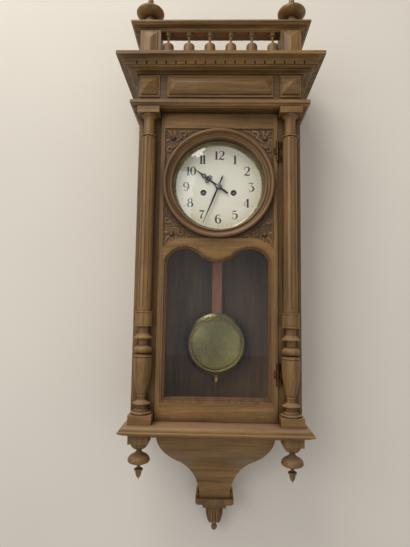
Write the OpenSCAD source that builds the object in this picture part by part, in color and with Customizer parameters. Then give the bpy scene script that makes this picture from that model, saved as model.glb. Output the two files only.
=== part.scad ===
// A spring driven striking wall clock: a walnut case with a gallery, a dentilled
// cornice, turned columns and a console, a glazed door, an eight day movement with
// going and strike trains, and a wooden rod pendulum.
// The front faces -Y and the wall is the plane Y = 0. Depths are measured from the
// wall towards the front. Heights are measured from the centre of the dial, and
// at_dial() carries them to the hanging hole, which is the origin.

/* [Case] */
// Half of the width across the side boards
case_half_w = 151; // [146:1:158]
// Distance from the wall to the front of the case stiles
case_d = 130; // [126:1:140]
// Thickness of the side boards
side_t = 10; // [8:0.5:12]
// Thickness of the backboard
back_t = 12; // [9:0.5:14]
// Thickness of the case stiles and of the rail between them
frame_t = 18; // [15:0.5:20]
// Height of the hanging hole above the centre of the dial
hang_z = 170; // [160:1:180]
// Radius of the hanging hole
hang_r = 5; // [4:0.1:6]
// Thickness of the hanging plate
plate_hang_t = 2; // [1.5:0.1:3]

/* [Door] */
// Thickness of the door
door_t = 20; // [18:0.5:21]
// How far the door stands proud of the case stiles
door_proud = 4; // [3:0.5:5]
// Height of the top of the door above the centre of the dial
door_up = 134.5; // [132:0.5:138]
// Depth of the foot of the door below the centre of the dial
door_down = 427.8; // [420:0.5:435]
// Gap between the door and the case
door_gap = 0.5; // [0.3:0.1:1]
// Width of the face of each door stile
stile_w = 7; // [6:0.5:8]
// Width of the moulding between the stiles and the lower glass
bead_w = 8.6; // [8:0.1:9]
// Height of the face of the bottom rail
bottom_rail_h = 31.4; // [26:0.2:36]
// Height of the face of the top rail
top_rail_h = 29; // [26:0.5:30]
// Radius of the two lobes that close the lower glass
lobe_r = 37; // [35:0.5:38]
// Distance of each lobe's centre in from the side of the glass
lobe_in = 33.5; // [32:0.1:35]
// Depth of the lobe centres below the centre of the dial
lobe_down = 159.5; // [158:0.5:162]
// Thickness of the flat glass
glass_t = 2.4; // [2:0.1:3]

/* [Dial] */
// Radius of the visible dial
dial_r = 80; // [78:0.5:81]
// Distance from the case front back to the face of the dial
dial_back = 18; // [17.5:0.5:19]
// Width of the metal ring around the dial
bezel_w = 7; // [6:0.5:7.5]
// Outer radius of the wooden ring, which sets the width of the door
ring_r = 102; // [100:0.5:103]
// Distance that the winding arbors stand to each side
wind_x = 28.5; // [28.5:0.1:29]
// Distance that the winding arbors stand below the dial centre
wind_down = 11.4; // [11.2:0.1:11.8]
// Radius of the winding holes in the dial
wind_hole_r = 5.9; // [5:0.1:6.5]
// Length of the minute hand
minute_len = 76; // [70:1:77]
// Length of the hour hand
hour_len = 54; // [48:1:58]
// Angle of the minute hand, clockwise from twelve
minute_at = 202; // [0:1:359]
// Angle of the hour hand, clockwise from twelve
hour_at = 306.4; // [0:0.1:359.9]

/* [Movement] */
// Distance between the movement plates
plate_gap = 40; // [40:0.5:41]
// Thickness of the movement plates
plate_t = 2; // [1.6:0.1:2.4]
// Space between the front plate and the dial
motion_gap = 10.5; // [10:0.1:12]
// Running clearance of the pivots and arbors
run_gap = 0.05; // [0.02:0.01:0.08]
// Radius of the pivots
pivot_r = 0.8; // [0.6:0.05:0.9]

/* [Pendulum] */
// Distance from the back plate to the middle of the pendulum rod
pend_gap = 16; // [15:0.5:17]
// Distance from the suspension to the centre of the bob
pend_len = 352; // [345:1:356]
// Radius of the bob
bob_r = 63; // [58:0.5:66]
// Thickness of the bob
bob_t = 16; // [14:0.5:18]
// Width of the rod
rod_w = 19.3; // [16:0.1:22]
// Thickness of the rod
rod_t = 6; // [5:0.1:7]

/* [Columns] */
// Distance of the column axes in front of the case
col_out = 13.3; // [12.6:0.1:14]
// Radius of the shafts
shaft_r = 12.3; // [11.5:0.1:12.4]
// Number of flutes on each shaft
flutes = 10; // [8:1:12]
// Margin of the case stile beside the blocks above and below the columns
block_margin = 1.2; // [0.8:0.1:3]

/* [Entablature] */
// Height of the moulding over the columns
arch_h = 13; // [11:0.5:15]
// How far that moulding projects
arch_p = 11; // [9:0.5:13]
// Height of the frieze
frieze_h = 54; // [50:0.5:58]
// Thickness of the frieze board
frieze_t = 18; // [15:0.5:20]
// Height of the bed moulding
bed_h = 7.4; // [6:0.2:9]
// Height of the dentil strip
dentil_h = 6.6; // [5:0.2:8]
// Spacing of the dentils
dentil_pitch = 17.8; // [14:0.2:22]
// Width of the cuts between dentils
dentil_cut = 2.8; // [2:0.1:4]
// Height of the cornice board
cornice_h = 11.3; // [10:0.1:14]
// How far the cornice projects beyond the frieze
cornice_p = 34; // [32:0.5:37]

/* [Gallery] */
// Height of the gallery posts
post_h = 56; // [50:1:62]
// Width of the gallery posts
post_w = 38; // [34:0.5:40]
// Depth of the gallery posts
post_d = 28; // [24:0.5:30]
// Height of the gallery rail
rail_h = 15; // [13:0.5:18]
// Number of spindles
spindles = 6; // [4:1:8]
// Spacing of the spindles
spindle_pitch = 39; // [30:0.5:39]
// Radius of the finial balls
ball_r = 26; // [22:0.5:27]

/* [Base] */
// Height of the ledge under the door
ledge_h = 8.5; // [7:0.5:11]
// How far the ledge stands in front of the case
ledge_out = 46; // [42:0.5:50]
// Half of the width of the ledge
ledge_half_w = 164.5; // [162:0.5:168]
// Height of the stepped moulding under the ledge
base_h = 12; // [10:0.5:15]
// Half of the width of the console at its top
console_half_w = 105; // [95:0.5:108]
// Depth of the console at its top
console_d = 128; // [110:1:132]
// Height of the console
console_h = 143; // [130:1:155]

/* [Hidden] */

walnut = "#7a5230";
dark_walnut = "#5c3d24";
brass = "#b5934a";
steel = "#8d9196";
blued = "#20242c";

// Depths from the wall
door_front = case_d + door_proud;
door_back = door_front - door_t;
dial_face = case_d - dial_back;
dial_t = 1.5;
front_plate_face = dial_face - dial_t - motion_gap;
front_plate_back = front_plate_face - plate_t;
back_plate_face = front_plate_back - plate_gap;
back_plate_back = back_plate_face - plate_t;
pend_d = back_plate_back - pend_gap;
frieze_face = case_d + frieze_t;
col_d = case_d + col_out;
col_block_face = col_d + 16.7;
ledge_face = case_d + ledge_out;

// Heights above the centre of the dial
arch_z = door_up + 1.5;
frieze_z = arch_z + arch_h;
bed_z = frieze_z + frieze_h;
dentil_z = bed_z + bed_h;
cornice_z = dentil_z + dentil_h;
gallery_z = cornice_z + cornice_h;
rail_z = gallery_z + post_h;
finial_z = rail_z + rail_h;
ledge_z = -door_down - 0.7;
ledge_foot_z = ledge_z - ledge_h;
base_foot_z = ledge_foot_z - base_h;
door_top_z = door_up;
door_foot_z = -door_down;
cap_h = 11.5;
plinth_h = 15.5;
cap_foot_z = arch_z - cap_h;
plinth_top_z = ledge_z + plinth_h;

frieze_half_w = case_half_w + 2.5;
inner_half_w = case_half_w - side_t;
face_half_w = ring_r - 1;
door_half_w = face_half_w + stile_w;
lobe_x = face_half_w - bead_w - lobe_in;

// The columns, posts and finials stand over the middle of the case stiles
col_x = (case_half_w + door_half_w + door_gap) / 2;
post_x = col_x;
block_half = (case_half_w - door_half_w - door_gap) / 2 - block_margin;
glass_half_w = face_half_w - bead_w;
glass_foot_z = door_foot_z + bottom_rail_h + bead_w;
panel_top_z = door_top_z - top_rail_h;

// Helpers for placing
module at_dial() translate([0, 0, -hang_z]) children();

// An outline in X and Z, extruded between two depths
module slab(d0, d1) translate([0, -d0, 0]) rotate([90, 0, 0]) linear_extrude(d1 - d0) children();

// An outline in depth and Z, extruded along X
module side_slab(x0, x1) translate([x1, 0, 0]) rotate([90, 0, -90]) linear_extrude(x1 - x0) children();

// A box between two corners, with its depths measured from the wall
module box(x0, x1, d0, d1, z0, z1) translate([x0, -d1, z0]) cube([x1 - x0, d1 - d0, z1 - z0]);

module both_sides() {
    children();
    mirror([1, 0, 0]) children();
}

// A piece turned about an upright axis, and one turned about an axis that faces the front
module upright(x, d) translate([x, -d, 0]) rotate_extrude($fn = 72) children();
module facing(x, z, d = 0) translate([x, -d, z]) rotate([90, 0, 0]) children();

// Turned and moulded profiles, as [radius or projection, height] points
function steps(t0, t1, n) = [for (i = [0:n]) t0 + (t1 - t0) * i / n];
function bulge(r0, r1, z0, z1, n = 10) =
    [for (t = steps(0, 180, n)) [r0 + (r1 - r0) * sin(t), z0 + (z1 - z0) * (1 - cos(t)) / 2]];
function cove(r0, r1, z0, z1, n = 6) =
    [for (t = steps(0, 90, n)) [r0 + (r1 - r0) * (1 - cos(t)), z0 + (z1 - z0) * sin(t)]];
function ovolo(r0, r1, z0, z1, n = 6) =
    [for (t = steps(0, 90, n)) [r0 + (r1 - r0) * sin(t), z0 + (z1 - z0) * (1 - cos(t))]];
function straight(r, z0, z1) = [[r, z0], [r, z1]];
function closed(pts) = concat([[0, pts[0][1]]], pts, [[0, pts[len(pts) - 1][1]]]);

// A moulding that runs along the front and both sides, mitred at its corners
module mitred(half_w, d, pts) {
    last = len(pts) - 1;
    reach = max([for (p = pts) p[0]]);
    right = [for (p = pts) [half_w + p[0], p[1]]];
    left = [for (i = [0:last]) [-half_w - pts[last - i][0], pts[last - i][1]]];
    front = [for (p = pts) [d + p[0], p[1]]];
    intersection() {
        slab(0, d + reach) polygon(concat(right, left));
        side_slab(-half_w - reach, half_w + reach)
            polygon(concat([[0, pts[0][1]]], front, [[0, pts[last][1]]]));
    }
}

// Outline of the glass opening, grown outwards by a margin
module glass_outline(m) {
    mid_z = glass_mid_z;
    difference() {
        union() {
            translate([-glass_half_w - m, glass_foot_z - m])
                square([2 * (glass_half_w + m), lobe_side_z - glass_foot_z + m]);
            intersection() {
                for (s = [-1, 1]) translate([s * lobe_x, -lobe_down]) circle(lobe_r + m, $fn = 96);
                translate([-glass_half_w - m, -lobe_down - lobe_r])
                    square([2 * (glass_half_w + m), 3 * lobe_r]);
            }
            translate([-lobe_x, lobe_side_z - 20]) square([2 * lobe_x, tangent_z - lobe_side_z + 20]);
        }
        translate([0, mid_z]) circle(mid_r - m, $fn = 96);
    }
}

// The curve between the lobes is a circle that touches both of them
glass_mid_z = -98.4;
lobe_span = norm([lobe_x, lobe_down + glass_mid_z]);
mid_r = lobe_span - lobe_r;
tangent_z = -lobe_down + (lobe_down + glass_mid_z) * lobe_r / lobe_span;
lobe_side_z = -lobe_down + 4;

// Case

module backboard() color(dark_walnut) at_dial() difference() {
    box(-inner_half_w, inner_half_w, 0, back_t, ledge_z, cornice_z - side_t);
    // Pocket for the hanging plate, and the deeper one for the hook behind it
    box(-hang_plate_w / 2, hang_plate_w / 2, -1, plate_hang_t, hang_z - 16, hang_z + 16);
    box(-8, 8, -1, back_t - 3, hang_z - 9, hang_z + 11);
}

hang_plate_w = 44;

// Width of the joints between the boards
joint = 0.1;

module hanging_plate() color(brass) at_dial() difference() {
    box(-hang_plate_w / 2 + 0.2, hang_plate_w / 2 - 0.2, 0, plate_hang_t, hang_z - 15.8, hang_z + 15.8);
    facing(0, hang_z, -1) cylinder(r = hang_r, h = plate_hang_t + 2, $fn = 64);
    for (s = [-1, 1]) facing(s * 16, hang_z, -1) cylinder(r = 1.6, h = plate_hang_t + 2, $fn = 24);
}

module case_boards() color(walnut) at_dial() {
    both_sides() box(inner_half_w, case_half_w, 0, case_d - frame_t, ledge_z, cornice_z);
    box(-inner_half_w + joint, inner_half_w - joint, 0, case_d - frame_t, cornice_z - side_t, cornice_z);
}

module case_frame() color(walnut) at_dial() {
    both_sides()
        box(door_half_w + door_gap, case_half_w, case_d - frame_t, case_d, ledge_z, cornice_z);
    box(-door_half_w - door_gap + joint, door_half_w + door_gap - joint, case_d - frame_t, case_d,
        door_top_z + door_gap, cornice_z);
}

module frieze_board() color(walnut) at_dial()
    box(-frieze_half_w, frieze_half_w, case_d, frieze_face, frieze_z, bed_z);

// A block whose face rises in four slopes to a ridge or a point
module hipped(x, z, w, h, d, edge_t, rise, inset) {
    slab(d, d + edge_t) translate([x, z]) square([w, h], center = true);
    hull() {
        slab(d + edge_t - 0.5, d + edge_t) translate([x, z]) square([w, h], center = true);
        slab(d + edge_t, d + edge_t + rise) translate([x, z])
            square([max(w - 2 * inset, 0.4), max(h - 2 * inset, 0.4)], center = true);
    }
}

module frieze_blocks() color(walnut) at_dial() {
    h = frieze_h - 13;
    z = frieze_z + frieze_h / 2 + 1;
    for (s = [-1, 1]) hipped(s * (col_x - 1.2), z, 2 * block_half - 3, h - 2, frieze_face, 3.5, 8, 20);
    hipped(0, z, 2 * (col_x - block_half - 12.7), h, frieze_face, 3.5, 7, 20);
}

module architrave() color(walnut) at_dial() difference() {
    mitred(frieze_half_w, frieze_face, concat(
        [[arch_p - 9, arch_z]],
        straight(arch_p - 6, arch_z, arch_z + 1.6),
        ovolo(arch_p - 6, arch_p - 1.6, arch_z + 1.6, arch_z + arch_h * 0.55),
        straight(arch_p, arch_z + arch_h * 0.55, frieze_z)));
    box(-case_half_w, case_half_w, -1, case_d, arch_z - 1, frieze_z + 1);
}

bed_reach = cornice_p - 15;

module crown_moulding() color(walnut) at_dial() difference() {
    mitred(frieze_half_w, frieze_face, concat(
        cove(2, bed_reach - 9, bed_z, bed_z + bed_h * 0.35),
        bulge(bed_reach - 8, bed_reach - 6.5, bed_z + bed_h * 0.35, bed_z + bed_h * 0.6, 6),
        ovolo(bed_reach - 8, bed_reach, bed_z + bed_h * 0.6, dentil_z),
        straight(bed_reach - 1, dentil_z, cornice_z)));
    box(-case_half_w, case_half_w, -1, case_d, bed_z - 1, cornice_z + 1);
}

dentil_t = 4;

module dentil_strip() color(walnut) at_dial() {
    half_w = frieze_half_w + bed_reach - 1;
    d = frieze_face + bed_reach - 1;
    front_n = floor((half_w + dentil_t) / dentil_pitch);
    side_n = floor(d / dentil_pitch);
    difference() {
        mitred(half_w, d, straight(dentil_t, dentil_z + 0.2, cornice_z));
        box(-half_w, half_w, -1, d, dentil_z - 1, cornice_z + 1);
        for (i = [-front_n:front_n - 1]) translate([(i + 0.5) * dentil_pitch - dentil_cut / 2, 0, 0])
            box(0, dentil_cut, d + 0.8, d + dentil_t + 1, dentil_z, cornice_z - 0.8);
        both_sides() for (i = [1:side_n]) translate([half_w + 0.8, -d + (i - 0.5) * dentil_pitch, 0])
            translate([0, -dentil_cut / 2, dentil_z]) cube([dentil_t, dentil_cut, dentil_h - 0.8]);
    }
}

module cornice_board() color(walnut) at_dial()
    mitred(frieze_half_w, frieze_face, concat(
        cove(cornice_p - 12, cornice_p - 1.2, cornice_z, cornice_z + cornice_h * 0.47, 8),
        straight(cornice_p, cornice_z + cornice_h * 0.47, gallery_z)));

// Gallery

rail_reach = 14;
rail_ref_w = post_x + post_w / 2 + 3;
rail_face = frieze_face + 3;
post_face = frieze_face + 9;
rail_band = 38;

module gallery_rail() color(walnut) at_dial() difference() {
    mitred(rail_ref_w, rail_face, concat(
        straight(1, rail_z, rail_z + 1.8),
        cove(2, 6, rail_z + 1.8, rail_z + rail_h * 0.42),
        straight(7, rail_z + rail_h * 0.42, rail_z + rail_h * 0.5),
        ovolo(7, rail_reach - 1.4, rail_z + rail_h * 0.5, rail_z + rail_h * 0.78),
        straight(rail_reach, rail_z + rail_h * 0.78, finial_z)));
    box(-rail_ref_w + rail_band, rail_ref_w - rail_band, -1, rail_face + rail_reach - rail_band,
        rail_z - 1, finial_z + 1);
}

module gallery_posts() color(walnut) at_dial() {
    both_sides() {
        box(post_x - post_w / 2, post_x + post_w / 2, post_face - post_d, post_face, gallery_z, rail_z);
        box(post_x - post_w / 2, post_x + post_w / 2, 0, post_d, gallery_z, rail_z);
        hipped(post_x, gallery_z + post_h / 2, post_w - 12, post_h - 6, post_face, 1.2, 3.5, (post_w - 12) / 2);
    }
}

module gallery_spindles() color(walnut) at_dial() {
    k = post_h / 56;
    for (i = [0:spindles - 1]) translate([0, 0, gallery_z])
        upright((i - (spindles - 1) / 2) * spindle_pitch, frieze_face)
        polygon(closed(concat(
            straight(9, 0, 2 * k),
            straight(10.35, 2.2 * k, 22 * k),
                [for (t = steps(0, 90, 8)) [4 + 6.35 * cos(t), (22 + 16.5 * sin(t)) * k]],
            bulge(2.9, 3.4, 40 * k, 44 * k, 4),
            bulge(3, 5, 44.5 * k, 47.5 * k, 8),
            bulge(3, 4.2, 49 * k, 51.5 * k, 8),
            straight(5.5, 52.5 * k, post_h))));
}

module finials() color(walnut) at_dial() both_sides() translate([0, 0, finial_z])
    upright(post_x, frieze_face)
    polygon(closed(concat(
        straight(15, 0, 3),
        cove(14, 8, 3, 8),
        straight(8, 8, 12),
        [for (t = steps(-72, 78, 20)) [ball_r * cos(t), 29 + 17 * sin(t)]],
        straight(4.6, 47, 53),
        ovolo(5.5, 9, 53, 56, 4),
        straight(9, 56, 57.5),
        [for (t = steps(8, 82, 10)) [7.4 * cos(t), 57 + 17 * sin(t)]],
        straight(0.9, 74.6, 77))));

// Columns

module column_blocks() color(walnut) at_dial() both_sides() {
    box(col_x - block_half, col_x + block_half, case_d, col_block_face, cap_foot_z, arch_z);
    box(col_x - block_half, col_x + block_half, case_d, col_block_face + 2, ledge_z, plinth_top_z);
}

flute_r = 1.5;
collar_down = 38;
foot_h = 176;

// The turned parts are as wide as their blocks let them be
turn_k = block_half / 20.05;

module columns() color(walnut) at_dial() both_sides() difference() {
    upright(col_x, col_d) polygon(closed(concat(
        [for (p = column_foot()) [p[0] * turn_k, plinth_top_z + p[1]]],
        straight(shaft_r, plinth_top_z + foot_h, cap_foot_z - collar_down - 5),
        bulge(shaft_r - 1.4, shaft_r + 1.3, cap_foot_z - collar_down - 3.5, cap_foot_z - collar_down, 8),
        straight(9.6, cap_foot_z - collar_down + 0.5, cap_foot_z - 11),
        cove(9.6, 13, cap_foot_z - 11, cap_foot_z - 4, 6),
        straight(15, cap_foot_z - 2.6, cap_foot_z))));
    // Flat on the case behind the foot
    box(0, case_half_w + 5, 0, case_d, ledge_z, arch_z);
    for (i = [0:flutes - 1]) translate([col_x, -col_d, 0]) rotate([0, 0, i * 360 / flutes])
        translate([0, -shaft_r - 0.4, plinth_top_z + foot_h + 8])
        cylinder(r = flute_r, h = cap_foot_z - collar_down - 15 - plinth_top_z - foot_h, $fn = 24);
}

// Turned foot of a column, as [radius, height above the plinth]
function column_foot() = concat(
    bulge(16.5, 18.4, 0.2, 4.2, 6),
    cove(12.6, 9.4, 4.6, 9, 4),
    straight(9.4, 9.4, 13),
    [[10.5, 15.8]],
    bulge(13, 15.6, 16, 19.2, 6),
    [[9, 22.2], [7, 23.4], [7, 28.2]],
    bulge(6.8, 7.9, 28.4, 33, 6),
    [for (t = steps(0, 90, 10)) [8 + 8.1 * sin(t), 34 + 56 * (1 - cos(t)) * 0.4 + 56 * t / 90 * 0.6]],
    [[15.6, 95.6], [14.6, 96.6]],
    bulge(14.6, 16.4, 96.8, 99.2, 6),
    [[13.6, 99.6], [13.2, 101.4]],
    [for (t = steps(-55, 62, 10)) [15.7 * cos(t) + 0.2, 109.2 + 9.2 * sin(t)]],
    [[7.8, 118.5], [8.2, 128.2]],
    [[15.9, 129], [15.9, 130.8], [9.6, 137.8]],
    straight(8.6, 138.4, 149),
    [[14.2, 149.6]],
    bulge(14.6, 15.9, 150, 153.2, 6),
    straight(15, 154, 173.4),
    bulge(14.4, 15.8, 173.8, 175.9, 6));

// Base

module ledge() color(walnut) at_dial()
    mitred(ledge_half_w - 3, ledge_face - 3, concat(
        [[0.5, ledge_foot_z]],
        ovolo(0.5, 3, ledge_foot_z, ledge_foot_z + 3, 4),
        straight(3, ledge_foot_z + 3, ledge_z - 1.5),
        [[2, ledge_z]]));

module base_moulding() color(dark_walnut) at_dial()
    mitred(ledge_half_w - 17, ledge_face - 17, concat(
        straight(0, base_foot_z, base_foot_z + 2.5),
        cove(1, 7, base_foot_z + 2.5, base_foot_z + base_h * 0.55),
        straight(8.5, base_foot_z + base_h * 0.55, base_foot_z + base_h * 0.7),
        ovolo(8.5, 13, base_foot_z + base_h * 0.7, ledge_foot_z)));

pendant_d = ledge_face - 17 - 19;
pendant_x = ledge_half_w - 17 - 18;

module pendants() color(walnut) at_dial() both_sides() translate([0, 0, base_foot_z]) {
    box(pendant_x - 17.5, pendant_x + 17.5, pendant_d - 17.5, pendant_d + 17.5, -13, 0);
    upright(pendant_x, pendant_d) mirror([0, 1]) polygon(closed(concat(
        straight(16.5, 13, 14.5),
        cove(15, 5, 14.5, 22.5, 8),
        straight(5, 22.5, 25),
        [[5.5, 25.6], [8, 29.6]],
        [for (t = steps(-68, 72, 16)) [19.5 * cos(t), 38.6 + 9 * sin(t)]],
        straight(3, 48.6, 53.4),
        ovolo(4, 7.5, 53.4, 55, 4),
        straight(7.5, 55, 56.6),
        [for (t = steps(8, 80, 8)) [5.6 * cos(t), 56.4 + 12.4 * sin(t)]],
        straight(0.8, 69, 71))));
}

console_neck = 29.3;
console_waist_z = -71;

// Half width, or depth, of the console against the height below its top
function swell(wide, mid, z0, z1) =
    [for (t = steps(0, 90, 12)) [mid + (wide - mid) * cos(t), z0 + (z1 - z0) * sin(t)]];
function sweep_in(mid, neck, z0, z1) =
    [for (t = steps(0, 90, 12)) [mid - (mid - neck) * sin(t), z0 + (z1 - z0) * (1 - cos(t))]];
function console_edge(wide, mid, neck) = concat([[wide, 0]],
    swell(wide, mid, -20, console_waist_z), sweep_in(mid, neck, console_waist_z, -console_h));

module console() color(walnut) at_dial() translate([0, 0, base_foot_z]) intersection() {
    half = console_edge(console_half_w, console_half_w - 44, console_neck);
    front = console_edge(console_d, console_d - 36, 46);
    n = len(half) - 1;
    slab(0, console_d + 1) polygon(concat(half, [for (i = [0:n]) [-half[n - i][0], half[n - i][1]]]));
    side_slab(-console_half_w - 1, console_half_w + 1)
        polygon(concat([[0, 0]], front, [[0, -console_h]]));
}

module console_drop() color(walnut) at_dial() translate([0, 0, base_foot_z - console_h]) {
    mitred(console_neck, 46, concat(
        straight(-7, -19, -15),
        cove(-6, 3, -15, -10),
        straight(4, -10, -8.5),
        ovolo(4, 7, -8.5, -6, 4),
        straight(7, -6, 0)));
    // Ears that rise from the collar beside the neck
    both_sides() slab(6, 44) polygon([[console_neck + 0.8, 0], [console_neck + 6.8, 0],
        [console_neck + 6.8, 7], [console_neck + 5.6, 11], [console_neck + 3.4, 12.5],
        [console_neck + 1.6, 11], [console_neck + 0.8, 7.5]]);
    upright(0, 21) mirror([0, 1]) polygon(closed(concat(
        straight(20, 19, 21.5),
        [for (t = steps(0, 90, 12)) [20 - 12 * (1 - cos(t)), 21.5 + 33 * sin(t)]],
        straight(4.4, 56, 58),
        [for (t = steps(-60, 80, 10)) [6 * cos(t), 63.5 + 6.5 * sin(t)]])));
}

// Door

module door_stiles() color(walnut) at_dial() {
    box(-door_half_w, -face_half_w, door_back, door_front, door_foot_z, door_top_z);
    difference() {
        box(face_half_w, door_half_w, door_back, door_front, door_foot_z, door_top_z);
        hinge_knuckle_space();
    }
}

panel_back = door_back + 9;
panel_t = 9;

module door_rails() color(walnut) at_dial() {
    box(-face_half_w, face_half_w, door_back, door_front, panel_top_z, door_top_z);
    box(-face_half_w, face_half_w, door_back, door_front, door_foot_z, door_foot_z + bottom_rail_h);
}

band_m = 20.6;
rebate = 4;

// Outline of the plain rail between the ring and the lower glass
module scallop_outline(ring_hole_r) {
    x = face_half_w;
    difference() {
        translate([-x, -lobe_down]) square([2 * x, lobe_down - 83]);
        glass_outline(bead_w);
        circle(ring_hole_r, $fn = 128);
        for (s = [-1, 1]) difference() {
            translate([s > 0 ? lobe_x : -x - 1, -lobe_down - 1]) square([x - lobe_x + 1, lobe_down]);
            translate([s * lobe_x, -lobe_down]) circle(lobe_r + band_m, $fn = 128);
        }
        translate([-lobe_x, -lobe_down + lobe_r + band_m]) square([2 * lobe_x, lobe_down]);
    }
}

ring_seat_r = ring_r - 5;
panel_front = panel_back + panel_t;

module scallop_rail() color(walnut) at_dial() difference() {
    union() {
        slab(door_back, panel_front) scallop_outline(ring_seat_r);
        slab(panel_front, door_front - 0.5) scallop_outline(ring_r + 0.3);
    }
    box(-lobe_x * 2, lobe_x * 2, door_back - 1, bezel_front + 1, -bezel_clear_r, 0);
}

bezel_front = dial_face + 9.5;
bezel_clear_r = dial_r + bezel_w + 4;

module spandrel_panel() color(dark_walnut) at_dial() {
    slab(panel_back, panel_front) difference() {
        translate([-face_half_w, band_side_z]) square([2 * face_half_w, panel_top_z - band_side_z]);
        circle(ring_seat_r, $fn = 128);
        for (s = [-1, 1]) translate([s * lobe_x, -lobe_down]) circle(lobe_r + band_m, $fn = 128);
        translate([-lobe_x, band_side_z - 1]) square([2 * lobe_x, lobe_r + band_m - lobe_down - band_side_z + 1]);
    }
    for (s = [-1, 1]) for (z = [boss_up, -boss_down]) facing(s * boss_x, z, panel_front - 0.2)
        intersection() {
            sphere(r = 4.6, $fn = 48);
            cylinder(r = 6, h = 6, $fn = 48);
        }
}

// Height at which the band around the lobes meets the stiles
band_side_z = -lobe_down + sqrt(pow(lobe_r + band_m, 2) - pow(face_half_w - lobe_x, 2));
boss_x = face_half_w - 16;
boss_up = panel_top_z - 18.8;
boss_down = -band_side_z - 25;

module dial_ring() color(walnut) at_dial() facing(0, 0, 0) rotate_extrude($fn = 144)
    polygon(concat(
        [[ring_in_r + 4.2, ring_back], [ring_in_r + 4.2, ring_back + 3], [ring_in_r, ring_back + 3]],
        [[ring_in_r, door_front + 5]],
        [for (t = steps(0, 90, 6)) [ring_in_r + 3 * (1 - cos(t)), door_front + 5 + 3 * sin(t)]],
        [[ring_in_r + 4, door_front + 8], [ring_in_r + 4, door_front + 9]],
        [for (t = steps(150, 0, 10)) [ring_r - 6.2 + 6.2 * cos(t), door_front + 4.8 + 6.2 * sin(t)]],
        [[ring_r - 1.4, door_front + 1.2], [ring_r - 3.2, panel_front], [ring_seat_r - 0.1, panel_front]],
        [[ring_seat_r - 0.1, ring_back]]));

ring_in_r = dial_r + bezel_w - 1;
ring_back = bezel_front + 0.8;

module door_glass() color("#c8d4d8", 0.4) at_dial() {
    // Domed glass over the dial, seated in the back of the ring
    r = ring_in_r - 0.2;
    facing(0, 0, 0) rotate_extrude($fn = 144) polygon(concat(
        [[0, ring_back + dome_rise - 2]],
        [for (t = steps(0, 1, 12)) [r * t, ring_back + 0.6 + (dome_rise - 2.6) * (1 - t * t)]],
        [[ring_in_r + 3.9, ring_back + 0.6], [ring_in_r + 3.9, ring_back + 2.8]],
        [for (t = steps(0, 1, 12)) [r * (1 - t), ring_back + 2.8 + (dome_rise - 2.8) * (1 - (1 - t) * (1 - t))]]));
    // Flat glass behind the lower opening
    slab(glass_back, glass_back + glass_t) glass_outline(rebate - 0.3);
}

dome_rise = 13;
glass_back = panel_back + 0.2;

module glass_beads() color(walnut) at_dial() {
    // Stepped moulding around the lower glass
    slab(door_back, glass_back - 0.1) difference() {
        glass_outline(bead_w);
        glass_outline(1.2);
    }
    slab(glass_back - 0.1, glass_back + glass_t + 0.1) difference() {
        glass_outline(bead_w);
        glass_outline(rebate);
    }
    for (i = [0:3]) slab(glass_back + glass_t + 0.1, door_front - [5.4, 3.4, 2.6, 0.8][i]) difference() {
        glass_outline([1.9, 4, 5, bead_w][i]);
        glass_outline([0, 1.9, 4, 5][i]);
    }
}

// Hinges

hinge_z = [62, -345];
hinge_h = 38;
hinge_x = door_half_w + door_gap / 2;
hinge_d = door_front + 0.6;
knuckle_r = 2.6;

module hinge_knuckle_space()
    for (z = hinge_z) translate([hinge_x, -hinge_d, z - hinge_h / 2 - 0.2])
        cylinder(r = knuckle_r + 0.4, h = hinge_h + 0.4, $fn = 48);

module hinge_leaves() color(brass) at_dial() for (z = hinge_z) {
    translate([hinge_x, -hinge_d, z - hinge_h / 2]) cylinder(r = knuckle_r, h = hinge_h / 3 - 0.2, $fn = 48);
    translate([hinge_x, -hinge_d, z + hinge_h / 6 + 0.2]) cylinder(r = knuckle_r, h = hinge_h / 3 - 0.2, $fn = 48);
    translate([hinge_x, -hinge_d, z - hinge_h / 2]) cylinder(r = 1.2, h = hinge_h, $fn = 32);
    for (k = [-1, 1]) box(hinge_x + 0.6, door_half_w + 9, case_d, case_d + 1.2,
        z + (k > 0 ? hinge_h / 6 + 0.2 : -hinge_h / 2), z + (k > 0 ? hinge_h / 2 : -hinge_h / 6 - 0.2));
    for (k = [-1, 1]) box(hinge_x + 0.6, hinge_x + 1.8, case_d, hinge_d,
        z + (k > 0 ? hinge_h / 6 + 0.2 : -hinge_h / 2), z + (k > 0 ? hinge_h / 2 : -hinge_h / 6 - 0.2));
}

module door_hinge_leaves() color(brass) at_dial() for (z = hinge_z) difference() {
    union() {
        translate([hinge_x, -hinge_d, z - hinge_h / 6]) cylinder(r = knuckle_r, h = hinge_h / 3, $fn = 48);
        box(door_half_w - stile_w + 0.6, hinge_x - 1, door_front, door_front + 1, z - hinge_h / 6, z + hinge_h / 6);
    }
    translate([hinge_x, -hinge_d, z - hinge_h / 2]) cylinder(r = 1.2 + run_gap, h = hinge_h, $fn = 32);
}

// Movement

// Positions of the arbors, as seen from the front
centre_at = [0, 0];
time_at = [wind_x, -wind_down];
strike_at = [-wind_x, -wind_down];

// Tooth counts
great_n = 84;
second_pinion_n = 12;
second_n = 72;
centre_pinion_n = 12;
centre_n = 72;
third_pinion_n = 7;
third_n = 69;
escape_pinion_n = 7;
escape_n = 30;
cannon_n = 10;
minute_n = 30;
minute_pinion_n = 8;
hour_n = 32;
pin_pinion_n = 12;
pin_n = 60;
gather_pinion_n = 8;
gather_n = 54;
warn_pinion_n = 7;
warn_n = 48;
fly_pinion_n = 6;

// Angle from one arbor to another, and a place at two given distances from two arbors
function bearing(a, b) = atan2(b[1] - a[1], b[0] - a[0]);
function meet(a, ra, b, rb, side) = let (
    d = norm(b - a),
    u = (b - a) / d,
    along = (ra * ra - rb * rb + d * d) / (2 * d),
    off = sqrt(ra * ra - along * along)) a + u * along + [-u[1], u[0]] * off * side;

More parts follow.
